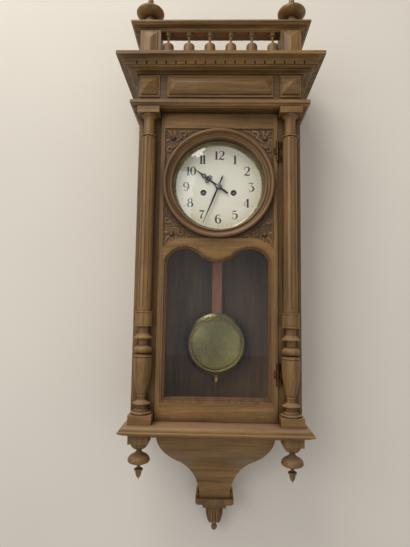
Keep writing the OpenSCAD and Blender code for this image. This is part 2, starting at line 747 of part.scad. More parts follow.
second_m = 0.588;
great_m = 0.5375;
centre_m = 0.6;
third_m = 0.5;
motion_m = 0.6;
pin_m = 0.55;
gather_m = 0.5;
warn_m = 0.5;
escape_r = 12;

great_reach = great_m * (great_n + second_pinion_n) / 2;
second_reach = second_m * (second_n + centre_pinion_n) / 2;
third_reach = centre_m * (centre_n + third_pinion_n) / 2;
escape_reach = third_m * (third_n + escape_pinion_n) / 2;
gather_reach = pin_m * (pin_n + gather_pinion_n) / 2;
warn_reach = gather_m * (gather_n + warn_pinion_n) / 2;
fly_reach = warn_m * (warn_n + fly_pinion_n) / 2;
motion_reach = motion_m * (cannon_n + minute_n) / 2;

second_at = meet(time_at, great_reach, centre_at, second_reach, 1);
third_at = [third_reach * cos(60), third_reach * sin(60)];
escape_at = [0, third_at[1] + sqrt(escape_reach * escape_reach - third_at[0] * third_at[0])];
pallet_at = [0, escape_at[1] + escape_r / cos(45)];
pin_at = strike_at + great_reach * [cos(107), sin(107)];
gather_at = pin_at + gather_reach * [cos(57), sin(57)];
warn_at = gather_at + warn_reach * [cos(75), sin(75)];
fly_at = warn_at + fly_reach * [cos(145), sin(145)];
motion_at = motion_reach * [cos(135), sin(135)];

// A wheel's tooth angle that puts a gap of it opposite a tooth of the wheel it meets
function phase(from, to, a, n_from, n_to) = let (t = bearing(from, to))
    t + 180 - (360 / n_to) * ((a - t) * n_from / 360 + 0.5);

// Tooth outlines: [root half width, pitch half width, tip half width, addendum, dedendum]
wheel_tooth = [0.25, 0.20, 0.09, 0.75, 1.25];
leaf_tooth = [0.24, 0.18, 0.09, 0.55, 1.25];

module teeth(n, m, tooth) {
    r = n * m / 2;
    root = r - tooth[4] * m;
    tip = r + tooth[3] * m;
    polygon([for (i = [0:n - 1], k = [-1, 1], j = [0:2])
        let (q = k < 0 ? j : 2 - j, a = (i + k * tooth[q]) * 360 / n, e = [root, r, tip][q])
        [e * cos(a), e * sin(a)]]);
}

// A wheel with spokes, and a solid pinion
module wheel(n, m, h, bore, spokes, at) rotate(at) difference() {
    rim_in = n * m / 2 - 1.25 * m - 1.6;
    linear_extrude(h) teeth(n, m, wheel_tooth);
    translate([0, 0, -1]) cylinder(r = bore, h = h + 2, $fn = 48);
    if (spokes > 0) translate([0, 0, -1]) difference() {
        cylinder(r = rim_in, h = h + 2, $fn = 64);
        translate([0, 0, -1]) cylinder(r = hub_r, h = h + 4, $fn = 48);
        for (i = [0:spokes - 1]) rotate(i * 360 / spokes) translate([0, -0.9, -1])
            cube([rim_in + 1, 1.8, h + 4]);
    }
}

hub_r = 4;

module pinion(n, m, h, at) rotate(at) linear_extrude(h) teeth(n, m, leaf_tooth);

// An arbor between the plates, with a pivot in each
module arbor(r, d0, d1) {
    translate([0, 0, d0]) cylinder(r = r, h = d1 - d0, $fn = 32);
    translate([0, 0, back_plate_face - 1.7]) cylinder(r = pivot_r, h = d0 - back_plate_face + 1.8, $fn = 24);
    translate([0, 0, d1 - 0.1]) cylinder(r = pivot_r, h = front_plate_back - d1 + 1.8, $fn = 24);
}

end_shake = 0.2;
in_back = back_plate_face + end_shake;
in_front = front_plate_back - end_shake;

// Depths of the wheels between the plates
centre_d = in_back + 1.5;
third_d = centre_d + 4;
escape_d = centre_d + 10;
great_d = front_plate_back - 7.5;
second_d = great_d + 4;

great_phase = 0;
second_pinion_phase = phase(time_at, second_at, great_phase, great_n, second_pinion_n);
second_phase = 0;
centre_pinion_phase = phase(second_at, centre_at, second_phase, second_n, centre_pinion_n);
centre_phase = 0;
third_pinion_phase = phase(centre_at, third_at, centre_phase, centre_n, third_pinion_n);
escape_pinion_phase = phase(third_at, escape_at, 0, third_n, escape_pinion_n);
pin_pinion_phase = phase(strike_at, pin_at, great_phase, great_n, pin_pinion_n);
gather_pinion_phase = phase(pin_at, gather_at, 0, pin_n, gather_pinion_n);
warn_pinion_phase = phase(gather_at, warn_at, 0, gather_n, warn_pinion_n);
fly_pinion_phase = phase(warn_at, fly_at, 0, warn_n, fly_pinion_n);
minute_phase = phase(centre_at, motion_at, 0, cannon_n, minute_n);
hour_phase = phase(motion_at, centre_at, 0, minute_pinion_n, hour_n);

plate_half_w = 52;
plate_foot_z = -46;
plate_top_z = 66;
pillars_at = [for (x = [-46, 46], z = [-40, 60]) [x, z]];
barrel_r = 21;
winder_r = 2.6;

module plate_holes(d0) {
    for (p = [centre_at, second_at, third_at, escape_at, pin_at, gather_at, warn_at, fly_at])
        facing(p[0], p[1], d0 - 1) cylinder(r = pivot_r + run_gap, h = plate_t + 2, $fn = 32);
    for (p = [time_at, strike_at])
        facing(p[0], p[1], d0 - 1) cylinder(r = winder_r + run_gap, h = plate_t + 2, $fn = 48);
}

module back_plate() color(brass) at_dial() {
    difference() {
        slab(back_plate_back, back_plate_face) plate_outline();
        plate_holes(back_plate_back);
        facing(pallet_at[0], pallet_at[1], back_plate_back - 1)
            cylinder(r = 1.6 + run_gap, h = plate_t + 2, $fn = 32);
        facing(hammer_at[0], hammer_at[1], back_plate_back - 1)
            cylinder(r = 1.2 + run_gap, h = plate_t + 2, $fn = 32);
    }
    for (p = pillars_at) facing(p[0], p[1], back_plate_face) rotate_extrude($fn = 48)
        polygon(closed(concat(straight(4, 0, 3), [[2.6, 5], [3.2, plate_gap / 2]],
            [[2.6, plate_gap - 5]], straight(4, plate_gap - 3, plate_gap))));
}

module plate_outline() {
    translate([-plate_half_w, plate_foot_z]) square([2 * plate_half_w, plate_top_z - plate_foot_z]);
}

module front_plate() color(brass) at_dial() {
    difference() {
        slab(front_plate_back, front_plate_face) plate_outline();
        plate_holes(front_plate_back);
        facing(0, 0, front_plate_back - 1) cylinder(r = 1.5 + run_gap, h = plate_t + 2, $fn = 32);
        facing(pallet_at[0], pallet_at[1], front_plate_back - 1)
            cylinder(r = pivot_r + run_gap, h = plate_t + 2, $fn = 32);
        facing(hammer_at[0], hammer_at[1], front_plate_back - 1)
            cylinder(r = 1.2 + run_gap, h = plate_t + 2, $fn = 32);
    }
    // Stud that carries the minute wheel, and the clicks of the two ratchets
    facing(motion_at[0], motion_at[1], front_plate_face) cylinder(r = 1, h = 7.5, $fn = 32);
    for (s = [-1, 1]) facing(s * (wind_x + 11.4), -wind_down, front_plate_face) {
        translate([0, 0, 0.2]) linear_extrude(1.8) polygon([for (q = [[1.6, -2], [2, 1], [-4.6, 6.8],
            [-6.1, 5.2], [-1.6, -2]]) [s * q[0], q[1]]]);
        cylinder(r = 0.9, h = 2.8, $fn = 24);
    }
}

// Iron brackets that carry the movement off the backboard
module movement_bracket() color("#3b3b3d") at_dial() both_sides() {
    x0 = plate_half_w - 6;
    box(x0, plate_half_w, back_t, back_t + 3, plate_foot_z, plate_top_z);
    box(x0, plate_half_w, back_plate_back - 3, back_plate_back, plate_foot_z, plate_top_z);
    for (z = [plate_foot_z, plate_top_z - 6])
        box(x0, plate_half_w, back_t + 3, back_plate_back - 3, z, z + 6);
}

module barrel(at) facing(at[0], at[1]) difference() {
    union() {
        translate([0, 0, great_d - barrel_h]) cylinder(r = barrel_r, h = barrel_h, $fn = 96);
        translate([0, 0, great_d]) rotate(great_phase) linear_extrude(2.5) teeth(great_n, great_m, wheel_tooth);
        translate([0, 0, great_d + 2.5]) cylinder(r = 6, h = 1, $fn = 48);
    }
    translate([0, 0, great_d - barrel_h - 1]) cylinder(r = winder_r + run_gap, h = barrel_h + 6, $fn = 48);
}

barrel_h = 20;

module time_barrel() color(brass) at_dial() barrel(time_at);
module strike_barrel() color(brass) at_dial() barrel(strike_at);

// Winding arbor with its ratchet wheel and square
module winder(at, s) facing(at[0], at[1]) {
    translate([0, 0, back_plate_back + 0.3]) cylinder(r = winder_r, h = front_plate_face + 0.2 - back_plate_back, $fn = 48);
    translate([0, 0, front_plate_face + 0.3]) linear_extrude(1.8)
        polygon([for (i = [0:17], k = [0, 1]) let (a = s * (i + k * 0.12) * 20, r = k > 0 ? 6.6 : 5.2)
            [r * cos(a), r * sin(a)]]);
    translate([-1.9, -1.9, front_plate_face + 1]) cube([3.8, 3.8, dial_face - front_plate_face - 1.5]);
}

module time_winder() color(steel) at_dial() winder(time_at, 1);
module strike_winder() color(steel) at_dial() winder(strike_at, -1);

module second_wheel() color(brass) at_dial() facing(second_at[0], second_at[1]) {
    arbor(1.4, in_back, in_front);
    translate([0, 0, great_d - 0.6]) pinion(second_pinion_n, great_m, 4.6, second_pinion_phase);
    translate([0, 0, second_d]) wheel(second_n, second_m, 1.6, 0.9, 5, second_phase);
}

module centre_wheel() color(brass) at_dial() facing(0, 0) {
    translate([0, 0, in_back]) cylinder(r = 1.5, h = front_plate_face + 0.3 - in_back, $fn = 32);
    translate([0, 0, back_plate_face - 1.7]) cylinder(r = pivot_r, h = 2.5, $fn = 24);
    translate([0, 0, front_plate_face + 0.2]) cylinder(r = 1, h = dial_face + 9 - front_plate_face, $fn = 32);
    translate([0, 0, second_d - 0.6]) pinion(centre_pinion_n, second_m, 2.8, centre_pinion_phase);
    translate([0, 0, centre_d]) wheel(centre_n, centre_m, 1.6, 1, 5, centre_phase);
}

module third_wheel() color(brass) at_dial() facing(third_at[0], third_at[1]) {
    arbor(1, in_back, in_front);
    translate([0, 0, centre_d - 0.6]) pinion(third_pinion_n, centre_m, 2.8, third_pinion_phase);
    translate([0, 0, third_d]) wheel(third_n, third_m, 1.5, 0.9, 4, 0);
}

// Escape wheel with pointed teeth that lean forward
module escape_wheel() color(brass) at_dial() facing(escape_at[0], escape_at[1]) {
    arbor(1, in_back, in_front);
    translate([0, 0, third_d - 0.6]) pinion(escape_pinion_n, third_m, 2.8, escape_pinion_phase);
    translate([0, 0, escape_d]) difference() {
        linear_extrude(1.4) polygon([for (i = [0:escape_n - 1], k = [0, 1, 2])
            let (a = (i + [-0.3, 0.02, 0.12][k]) * 360 / escape_n, r = [escape_r - 2.6, escape_r, escape_r - 2.6][k])
            [r * cos(a), r * sin(a)]]);
        translate([0, 0, -1]) difference() {
            cylinder(r = escape_r - 4, h = 4, $fn = 64);
            cylinder(r = 2.6, h = 4, $fn = 32);
            for (i = [0:3]) rotate(45 + i * 90) translate([0, -0.7, 0]) cube([escape_r, 1.4, 4]);
        }
    }
}

crutch_len = 46;

// Anchor, its arbor and the crutch that leads the pendulum
module pallets() color(steel) at_dial() {
    facing(pallet_at[0], pallet_at[1]) {
        translate([0, 0, pend_d + 6.5]) cylinder(r = 1.6, h = in_front - pend_d - 6.5, $fn = 32);
        translate([0, 0, in_front - 0.1]) cylinder(r = pivot_r, h = 1.8, $fn = 24);
        translate([0, 0, escape_d - 0.4]) linear_extrude(2.2) anchor_outline();
        translate([-1.6, -crutch_len, pend_d + 6.5]) cube([3.2, crutch_len, 1.4]);
        translate([-rod_w / 2 - 2.4, -crutch_len - 2, pend_d + 6.5]) cube([rod_w + 4.8, 4, 1.4]);
        for (s = [-1, 1]) translate([s * (rod_w / 2 + 1.4) - 1, -crutch_len - 2, pend_d - rod_t / 2])
            cube([2, 4, rod_t / 2 + 7]);
    }
}

// An arch over the wheel, thicker at its middle, that stays clear of the tooth circle as it rocks
module anchor_outline() {
    wheel_y = -escape_r / cos(45);
    intersection() {
        difference() {
            translate([0, wheel_y + 5]) circle(escape_r + 2.5, $fn = 64);
            translate([0, wheel_y]) circle(escape_r + 1.3, $fn = 64);
        }
        translate([-20, wheel_y + 7.5]) square([40, 30]);
    }
}

// Motion work in front of the plate
cannon_d = front_plate_face + 1;
hour_d = cannon_d + 3.2;

module cannon_pinion() color(brass) at_dial() facing(0, 0) difference() {
    union() {
        translate([0, 0, cannon_d]) pinion(cannon_n, motion_m, 2.6, 0);
        translate([0, 0, cannon_d + 2.6]) cylinder(r = 1.9, h = dial_face + 6.2 - cannon_d - 2.6, $fn = 32);
    }
    translate([0, 0, cannon_d - 1]) cylinder(r = 1 + 0.02, h = 40, $fn = 32);
}

module minute_wheel() color(brass) at_dial() facing(motion_at[0], motion_at[1]) difference() {
    union() {
        translate([0, 0, cannon_d + 0.4]) wheel(minute_n, motion_m, 1.6, 1 + run_gap, 4, minute_phase);
        translate([0, 0, cannon_d + 2]) pinion(minute_pinion_n, motion_m, 3.4, 0);
    }
    translate([0, 0, cannon_d - 1]) cylinder(r = 1 + run_gap, h = 10, $fn = 32);
}

module hour_wheel() color(brass) at_dial() facing(0, 0) difference() {
    union() {
        translate([0, 0, hour_d]) wheel(hour_n, motion_m, 1.6, 2, 4, hour_phase);
        translate([0, 0, hour_d]) cylinder(r = 3.2, h = dial_face + 3.6 - hour_d, $fn = 48);
    }
    translate([0, 0, hour_d - 1]) cylinder(r = 1.9 + run_gap, h = 40, $fn = 32);
}

// Dial and hands

module dial() color("#e9e4cf") at_dial() {
    difference() {
        facing(0, 0, dial_face - dial_t) cylinder(r = dial_r + bezel_w - 1, h = dial_t, $fn = 128);
        facing(0, 0, dial_face - dial_t - 1) cylinder(r = 4.2, h = dial_t + 2, $fn = 48);
        for (s = [-1, 1]) facing(s * wind_x, -wind_down, dial_face - dial_t - 1)
            cylinder(r = wind_hole_r, h = dial_t + 2, $fn = 48);
    }
    for (p = [[-40, 40], [40, 40], [0, -38]]) facing(p[0], p[1], front_plate_face)
        cylinder(r = 2, h = motion_gap, $fn = 32);
}

module dial_bezel() color("#8a7340") at_dial() facing(0, 0, dial_face) rotate_extrude($fn = 128)
    polygon([[dial_r, 0], [dial_r + bezel_w - 1, 0], [dial_r + bezel_w + 0.6, 8.2], [dial_r + bezel_w, 9.5],
        [dial_r + bezel_w - 1.4, 9.2], [dial_r + 1.6, 2.4], [dial_r, 1.6]]);

hand_t = 0.9;
hour_hand_d = dial_face + 2.4;
minute_hand_d = dial_face + 5.2;

module hand_ring(x, y, r, hole_r) translate([x, y, 0]) difference() {
    cylinder(r = r, h = hand_t, $fn = 48);
    translate([0, 0, -1]) cylinder(r = hole_r, h = hand_t + 2, $fn = 48);
}

// Tapering bar along a hand, as pairs of half width and distance from the centre
module hand_bar(pts) linear_extrude(hand_t) polygon(concat(
    [for (p = pts) [-p[0], p[1]]],
    [for (i = [len(pts) - 1:-1:0]) [pts[i][0], pts[i][1]]]));

// Spade hand with a ring, a scrolled cross and a spear point
module hour_hand() color(blued) at_dial() facing(0, 0, hour_hand_d) rotate(-hour_at) {
    cross_y = hour_len * 0.44;
    top_y = hour_len * 0.64;
    hand_ring(0, 0, 6, 3.2 + 0.02);
    hand_bar([[2, 4.5], [1.2, cross_y - 2.4]]);
    hand_bar([[1.2, -22], [2.2, -14], [1.4, -4.5]]);
    for (s = [-1, 1]) hand_ring(s * 4.6, cross_y, 3.6, 1.9);
    hand_ring(0, cross_y, 3.4, 1.5);
    for (s = [-1, 1]) translate([s * 2.1, cross_y + 3.6, 0]) cylinder(r = 1.9, h = hand_t, $fn = 32);
    hand_bar([[1.1, cross_y + 2.6], [1.1, top_y - 3]]);
    hand_ring(0, top_y, 4.4, 2.2);
    hand_bar([[1.9, top_y + 3.4], [0.2, hour_len]]);
}

module minute_hand() color(blued) at_dial() facing(0, 0, minute_hand_d) rotate(-minute_at) {
    hand_ring(0, 0, 5, 1.9 + 0.02);
    hand_bar([[1.5, 3.6], [1.9, minute_len * 0.3], [0.4, minute_len]]);
    hand_bar([[0.3, -23], [1.8, -17], [1.1, -3.6]]);
}

// Pendulum

// The suspension spring bends at the height of the pallet arbor
pivot_z = pallet_at[1];
chop_gap = 0.3;

module suspension() color(brass) at_dial() {
    // Cock on the back plate, the upper chop and the spring
    box(-7, 7, back_plate_back - 2, back_plate_back, pivot_z + 4, pivot_z + 12);
    box(-4, 4, pend_d - 3, back_plate_back - 2, pivot_z + 6, pivot_z + 12);
    box(-0.15, 0.15, pend_d - 2.6, pend_d + 2.6, pivot_z, pivot_z + 6);
}

hook_h = 18;
rod_top_z = pivot_z - hook_h - 2;
bob_z = pivot_z - pend_len;
rod_foot_z = bob_z - bob_r * 0.7;
stem_r = 1.5;

module pendulum_fittings() color(steel) at_dial() {
    box(-3, 3, pend_d - rod_t / 2, pend_d + rod_t / 2, pivot_z - chop_gap - 7, pivot_z - chop_gap);
    box(-1.5, 1.5, pend_d - rod_t / 2, pend_d + rod_t / 2, rod_top_z, pivot_z - chop_gap - 7);
    translate([0, -pend_d, bob_z - bob_r - 31]) cylinder(r = stem_r, h = rod_foot_z - bob_z + bob_r + 31, $fn = 32);
}

module pendulum_rod() color("#6b3d24") at_dial()
    box(-rod_w / 2, rod_w / 2, pend_d - rod_t / 2, pend_d + rod_t / 2, rod_foot_z, rod_top_z);

module bob() color(brass) at_dial() difference() {
    facing(0, bob_z, pend_d - rod_t / 2 - 3) rotate_extrude($fn = 144) polygon(concat(
        [[0, 0], [bob_r - 3, 0]],
        [for (t = steps(-70, 80, 8)) [bob_r - 3 + 3 * cos(t), 5 + 5 * sin(t)]],
        [[bob_r - 4, 10.6], [bob_r - 8, 12.4], [bob_r - 10.6, 12.2], [bob_r - 11, 11.4], [bob_r - 12, 11.6]],
        [for (t = steps(0, 1, 8)) [(bob_r - 12) * (1 - t), 11.6 + (bob_t - 11.6) * (1 - (1 - t) * (1 - t))]]));
    // Channel for the rod, and the hole for the threaded stem
    box(-rod_w / 2 - 0.2, rod_w / 2 + 0.2, 0, pend_d + rod_t / 2 + 0.2, rod_foot_z - 0.2, bob_z + bob_r + 1);
    translate([0, -pend_d, bob_z - bob_r - 1]) cylinder(r = stem_r + 0.1, h = bob_r, $fn = 32);
}

module rating_nut() color(brass) at_dial() translate([0, -pend_d, bob_z - bob_r - 9.8]) difference() {
    union() {
        cylinder(r = 7, h = 6, $fn = 48);
        translate([0, 0, 5.9]) cylinder(r = 4, h = 3.6, $fn = 48);
    }
    translate([0, 0, -1]) cylinder(r = stem_r + run_gap, h = 12, $fn = 32);
}

// Strike

module pin_wheel() color(brass) at_dial() facing(pin_at[0], pin_at[1]) {
    arbor(1.2, in_back, in_front);
    translate([0, 0, great_d - 0.6]) pinion(pin_pinion_n, great_m, 4.6, pin_pinion_phase);
    translate([0, 0, second_d]) wheel(pin_n, pin_m, 1.6, 0.9, 4, 0);
    for (i = [0:7]) rotate(i * 45 + 20) translate([pin_n * pin_m / 2 - 2, 0, second_d + 1.5])
        cylinder(r = 0.5, h = 1.5, $fn = 16);
}

module gathering_wheel() color(brass) at_dial() facing(gather_at[0], gather_at[1]) {
    arbor(1, in_back, in_front);
    translate([0, 0, second_d - 0.6]) pinion(gather_pinion_n, pin_m, 2.8, gather_pinion_phase);
    translate([0, 0, third_d]) wheel(gather_n, gather_m, 1.5, 0.9, 4, 0);
}

module warning_wheel() color(brass) at_dial() facing(warn_at[0], warn_at[1]) {
    arbor(1, in_back, in_front);
    translate([0, 0, third_d - 0.6]) pinion(warn_pinion_n, gather_m, 2.8, warn_pinion_phase);
    translate([0, 0, third_d + 10]) wheel(warn_n, warn_m, 1.4, 0.9, 4, 0);
}

module fly() color(brass) at_dial() facing(fly_at[0], fly_at[1]) {
    arbor(0.82, in_back, in_front);
    translate([0, 0, third_d + 9.4]) pinion(fly_pinion_n, warn_m, 2.6, fly_pinion_phase);
    translate([-7, -0.4, third_d + 14]) cube([14, 0.8, 14]);
}

hammer_at = [-plate_half_w + 10.5, 34];
hammer_len = 62;
gong_at = [-2, -62];
gong_d = back_t + 9;
gong_in_r = 18;
gong_r = 44.3;
gong_turns = 3;
gong_wire_r = 1.3;

// Hammer on its arbor: the head hangs beside the outer turn of the gong, and the tail
// reaches towards the lifting pins
module hammer() color(steel) at_dial() facing(hammer_at[0], hammer_at[1]) {
    translate([0, 0, gong_d - 2]) cylinder(r = 1.2, h = front_plate_face + 1.5 - gong_d, $fn = 32);
    translate([-1.2, -hammer_len, gong_d - 2]) cube([2.4, hammer_len, 2.4]);
    translate([-5, -hammer_len - 4, gong_d - 4]) cube([10, 8, 7]);
    rotate(bearing(hammer_at, pin_at)) translate([0, -0.8, second_d + 1.9]) cube([6, 1.6, 1.3]);
}

// Spiral of round wire: rings of points along an Archimedean spiral, joined by faces
rings_per_turn = 24;
wire_sides = 6;

function spiral_r(r0, r1, n, i) = r0 + (r1 - r0) * i / n;
function spiral_point(r0, r1, n, i, out, up) = let (
    a = 360 * i / rings_per_turn,
    r = spiral_r(r0, r1, n, i) + out) [r * cos(a), r * sin(a), up];

// Least clear distance from one turn to another, measured between ring centres
function spiral_gap(r0, r1, n, wire_r) = min([for (i = [0:n], j = [i + rings_per_turn / 2:n])
    norm(spiral_point(r0, r1, n, i, 0, 0) - spiral_point(r0, r1, n, j, 0, 0))]) - 2 * wire_r;

module spiral(r0, r1, turns, wire_r) {
    n = turns * rings_per_turn;
    echo(least_gap_between_turns = spiral_gap(r0, r1, n, wire_r));
    points = [for (i = [0:n], k = [0:wire_sides - 1]) let (b = k * 360 / wire_sides)
        spiral_point(r0, r1, n, i, wire_r * cos(b), wire_r * sin(b))];
    walls = [for (i = [0:n - 1], k = [0:wire_sides - 1]) let (
        j = (k + 1) % wire_sides,
        a = i * wire_sides,
        b = a + wire_sides)
        each [[a + k, a + j, b + j], [a + k, b + j, b + k]]];
    first = [for (k = [0:wire_sides - 1]) wire_sides - 1 - k];
    last = [for (k = [0:wire_sides - 1]) n * wire_sides + k];
    polyhedron(points, concat(walls, [first, last]));
}

// Coiled gong held by its inner end in a block that stands off the backboard
module gong() color("#3c4048") at_dial() facing(gong_at[0], gong_at[1]) {
    translate([gong_in_r - 6, -12, back_t]) cube([12, 12, gong_d + 4 - back_t]);
    translate([0, 0, gong_d]) spiral(gong_in_r, gong_r, gong_turns, gong_wire_r);
}

backboard();
case_boards();
case_frame();
frieze_board();
frieze_blocks();
architrave();
crown_moulding();
dentil_strip();
cornice_board();
gallery_rail();
gallery_posts();
gallery_spindles();
finials();
column_blocks();
columns();
ledge();
base_moulding();
pendants();
console();
console_drop();
hanging_plate();
hinge_leaves();
door_stiles();
door_rails();
scallop_rail();
spandrel_panel();
dial_ring();
door_glass();
glass_beads();
door_hinge_leaves();
movement_bracket();
back_plate();
front_plate();
dial();
dial_bezel();
time_barrel();
strike_barrel();
time_winder();
strike_winder();
second_wheel();
centre_wheel();
third_wheel();
escape_wheel();
pallets();
cannon_pinion();
minute_wheel();
hour_wheel();
hour_hand();
minute_hand();
suspension();
pendulum_rod();
pendulum_fittings();
bob();
rating_nut();
pin_wheel();
gathering_wheel();
warning_wheel();
fly();
hammer();
gong();
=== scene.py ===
"""Dresses the striking wall clock: wood, brass, steel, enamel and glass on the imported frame.

It also makes the carving, the dial figures, the small fasteners and the finer outlines of some pieces.

Everything is in metres in the frame of the clock: +Z up, -Y towards the room, and the wall at Y = 0.
"""

from __future__ import annotations

import logging
import math
from dataclasses import dataclass
from enum import Enum
from typing import Iterable, Sequence

import bpy
from mathutils import Matrix, Vector


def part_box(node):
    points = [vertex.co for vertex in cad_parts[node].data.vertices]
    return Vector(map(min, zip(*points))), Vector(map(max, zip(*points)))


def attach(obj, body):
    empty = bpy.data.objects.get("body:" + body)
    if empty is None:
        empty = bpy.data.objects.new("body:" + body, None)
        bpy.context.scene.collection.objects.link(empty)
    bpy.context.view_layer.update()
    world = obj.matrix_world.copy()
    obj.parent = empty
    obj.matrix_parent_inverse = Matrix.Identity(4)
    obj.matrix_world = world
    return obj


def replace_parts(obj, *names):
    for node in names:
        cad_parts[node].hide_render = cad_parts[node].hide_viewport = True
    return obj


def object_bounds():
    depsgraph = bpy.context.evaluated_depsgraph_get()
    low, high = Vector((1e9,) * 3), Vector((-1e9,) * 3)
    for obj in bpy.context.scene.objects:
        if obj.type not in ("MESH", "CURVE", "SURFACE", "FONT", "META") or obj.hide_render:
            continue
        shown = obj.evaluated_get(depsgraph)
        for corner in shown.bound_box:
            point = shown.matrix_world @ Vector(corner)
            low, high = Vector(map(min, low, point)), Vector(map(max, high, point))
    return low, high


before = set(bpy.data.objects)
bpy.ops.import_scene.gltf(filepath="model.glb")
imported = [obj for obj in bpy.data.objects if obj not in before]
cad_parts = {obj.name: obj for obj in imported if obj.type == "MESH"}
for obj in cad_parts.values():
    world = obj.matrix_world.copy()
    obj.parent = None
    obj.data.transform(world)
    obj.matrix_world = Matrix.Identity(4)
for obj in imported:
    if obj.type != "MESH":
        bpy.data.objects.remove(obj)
cad_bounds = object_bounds()

LOG = logging.getLogger("wall_clock")
MM = 0.001
BOSS_RISE = 4.4  # height in millimetres of the panel's bosses over its carved ground
BELL_OUT = 21.0  # distance of the drop's axis from the wall
BELL_DOWN = 24.0  # distance from the foot of the console to the top of the drop's bell
BELL_H = 30.5  # height of the bell

Colour = tuple[float, float, float, float]


def tone(red: int, green: int, blue: int) -> Colour:
    """Turns a colour given as display values from 0 to 255 into a linear colour.

    Args:
        red: Display value of red.
        green: Display value of green.
        blue: Display value of blue.

    Returns:
        The linear colour with full alpha.
    """

    def linear(value: int) -> float:
        """Gives the linear value of one display value."""
        part = value / 255.0
        return part / 12.92 if part <= 0.04045 else ((part + 0.055) / 1.055) ** 2.4

    return linear(red), linear(green), linear(blue), 1.0


class Along(Enum):
    """The direction in which the grain of a board runs, as the turn that brings it upright."""

    HEIGHT = (0.0, 0.0, 0.0)
    WIDTH = (0.0, math.pi / 2, 0.0)


class Slot(Enum):
    """Material slots of the record."""

    WALNUT = "walnut"
    BRASS = "brass"
    STEEL = "steel"
    DIAL = "dial_enamel"


class Graph:
    """Short calls for building the node tree of a material or of a group."""

    def __init__(self, tree: bpy.types.NodeTree) -> None:
        """Keeps the tree that the calls add to.

        Args:
            tree: The node tree.
        """
        self.tree = tree

    def add(self, kind: str, inputs: dict | None = None, **settings) -> bpy.types.Node:
        """Adds a node.

        Args:
            kind: The node's type name.
            inputs: What feeds each input: a socket, or a value for it.
            **settings: Attributes of the node.

        Returns:
            The node.
        """
        node = self.tree.nodes.new(kind)
        for name, value in settings.items():
            setattr(node, name, value)
        self.feed(node, inputs or {})
        return node

    def feed(self, node: bpy.types.Node, inputs: dict) -> None:
        """Feeds inputs of a node, each with a socket or with a value for it."""
        for name, value in inputs.items():
            if isinstance(value, bpy.types.NodeSocket):
                self.tree.links.new(value, node.inputs[name])
            else:
                node.inputs[name].default_value = value

    def place(self) -> bpy.types.NodeSocket:
        """Gives the object coordinates."""
        return self.add("ShaderNodeTexCoord").outputs["Object"]

    def maths(self, operation: str, *values: float | bpy.types.NodeSocket) -> bpy.types.NodeSocket:
        """Adds a Math node, clamped to 0 and 1 where it adds or subtracts, and gives its result."""
        node = self.add("ShaderNodeMath", {i: v for i, v in enumerate(values)}, operation=operation)
        node.use_clamp = operation in {"MULTIPLY_ADD", "SUBTRACT"}
        return node.outputs[0]

    def vector(self, operation: str, *values) -> bpy.types.NodeSocket:
        """Adds a Vector Math node and gives its result."""
        node = self.add("ShaderNodeVectorMath", {i: v for i, v in enumerate(values)}, operation=operation)
        return node.outputs[0]

    def noise(self, vector: bpy.types.NodeSocket, scale: float, detail: float = 3.0,
              rough: float = 0.5) -> bpy.types.NodeSocket:
        """Adds a Noise Texture and gives its factor."""
        node = self.add("ShaderNodeTexNoise", {"Vector": vector, "Scale": scale, "Detail": detail,
                                               "Roughness": rough})
        return node.outputs[0]

    def between(self, value: bpy.types.NodeSocket, low: float, high: float) -> bpy.types.NodeSocket:
        """Adds a Map Range node that carries low to 0 and high to 1, and gives its result."""
        node = self.add("ShaderNodeMapRange", {"Value": value, "From Min": low, "From Max": high})
        return node.outputs[0]

    def mix(self, share, first, second, blend: str = "MIX") -> bpy.types.NodeSocket:
        """Mixes two colours.

        Args:
            share: Share of the second colour, as a number or a socket.
            first: The colour at share 0.
            second: The colour at share 1.
            blend: The blend type.

        Returns:
            The mixed colour's socket.
        """
        node = self.add("ShaderNodeMix", {0: share, 6: first, 7: second}, data_type="RGBA", blend_type=blend)
        return node.outputs[2]


class Effect:
    """Base of the shared effects: a node group with named inputs and outputs, built once."""

    title = "effect"
    takes: tuple[tuple[str, str], ...] = ()
    gives: tuple[tuple[str, str], ...] = ()

    def __init__(self) -> None:
        """Makes the group's sockets and calls the effect's own wiring."""
        self.group = bpy.data.node_groups.new(self.title, "ShaderNodeTree")
        for name, kind in self.takes:
            self.group.interface.new_socket(name=name, in_out="INPUT", socket_type=kind)
        for name, kind in self.gives:
            self.group.interface.new_socket(name=name, in_out="OUTPUT", socket_type=kind)
        graph = Graph(self.group)
        taken = graph.add("NodeGroupInput")
        given = graph.add("NodeGroupOutput")
        for name, socket in self.wire(graph, taken.outputs).items():
            self.group.links.new(socket, given.inputs[name])

    def wire(self, graph: Graph, taken) -> dict[str, bpy.types.NodeSocket]:
        """Wires the effect.

        Args:
            graph: The group's graph.
            taken: The sockets of the group's inputs.

        Returns:
            The socket that feeds each output.
        """
        raise NotImplementedError

    def use(self, graph: Graph, inputs: dict) -> bpy.types.Node:
        """Places the group in a material.

        Args:
            graph: The material's graph.
            inputs: What feeds each input.

        Returns:
            The group's node.
        """
        return graph.add("ShaderNodeGroup", inputs, node_tree=self.group)


FLOAT, COLOUR, VECTOR = "NodeSocketFloat", "NodeSocketColor", "NodeSocketVector"


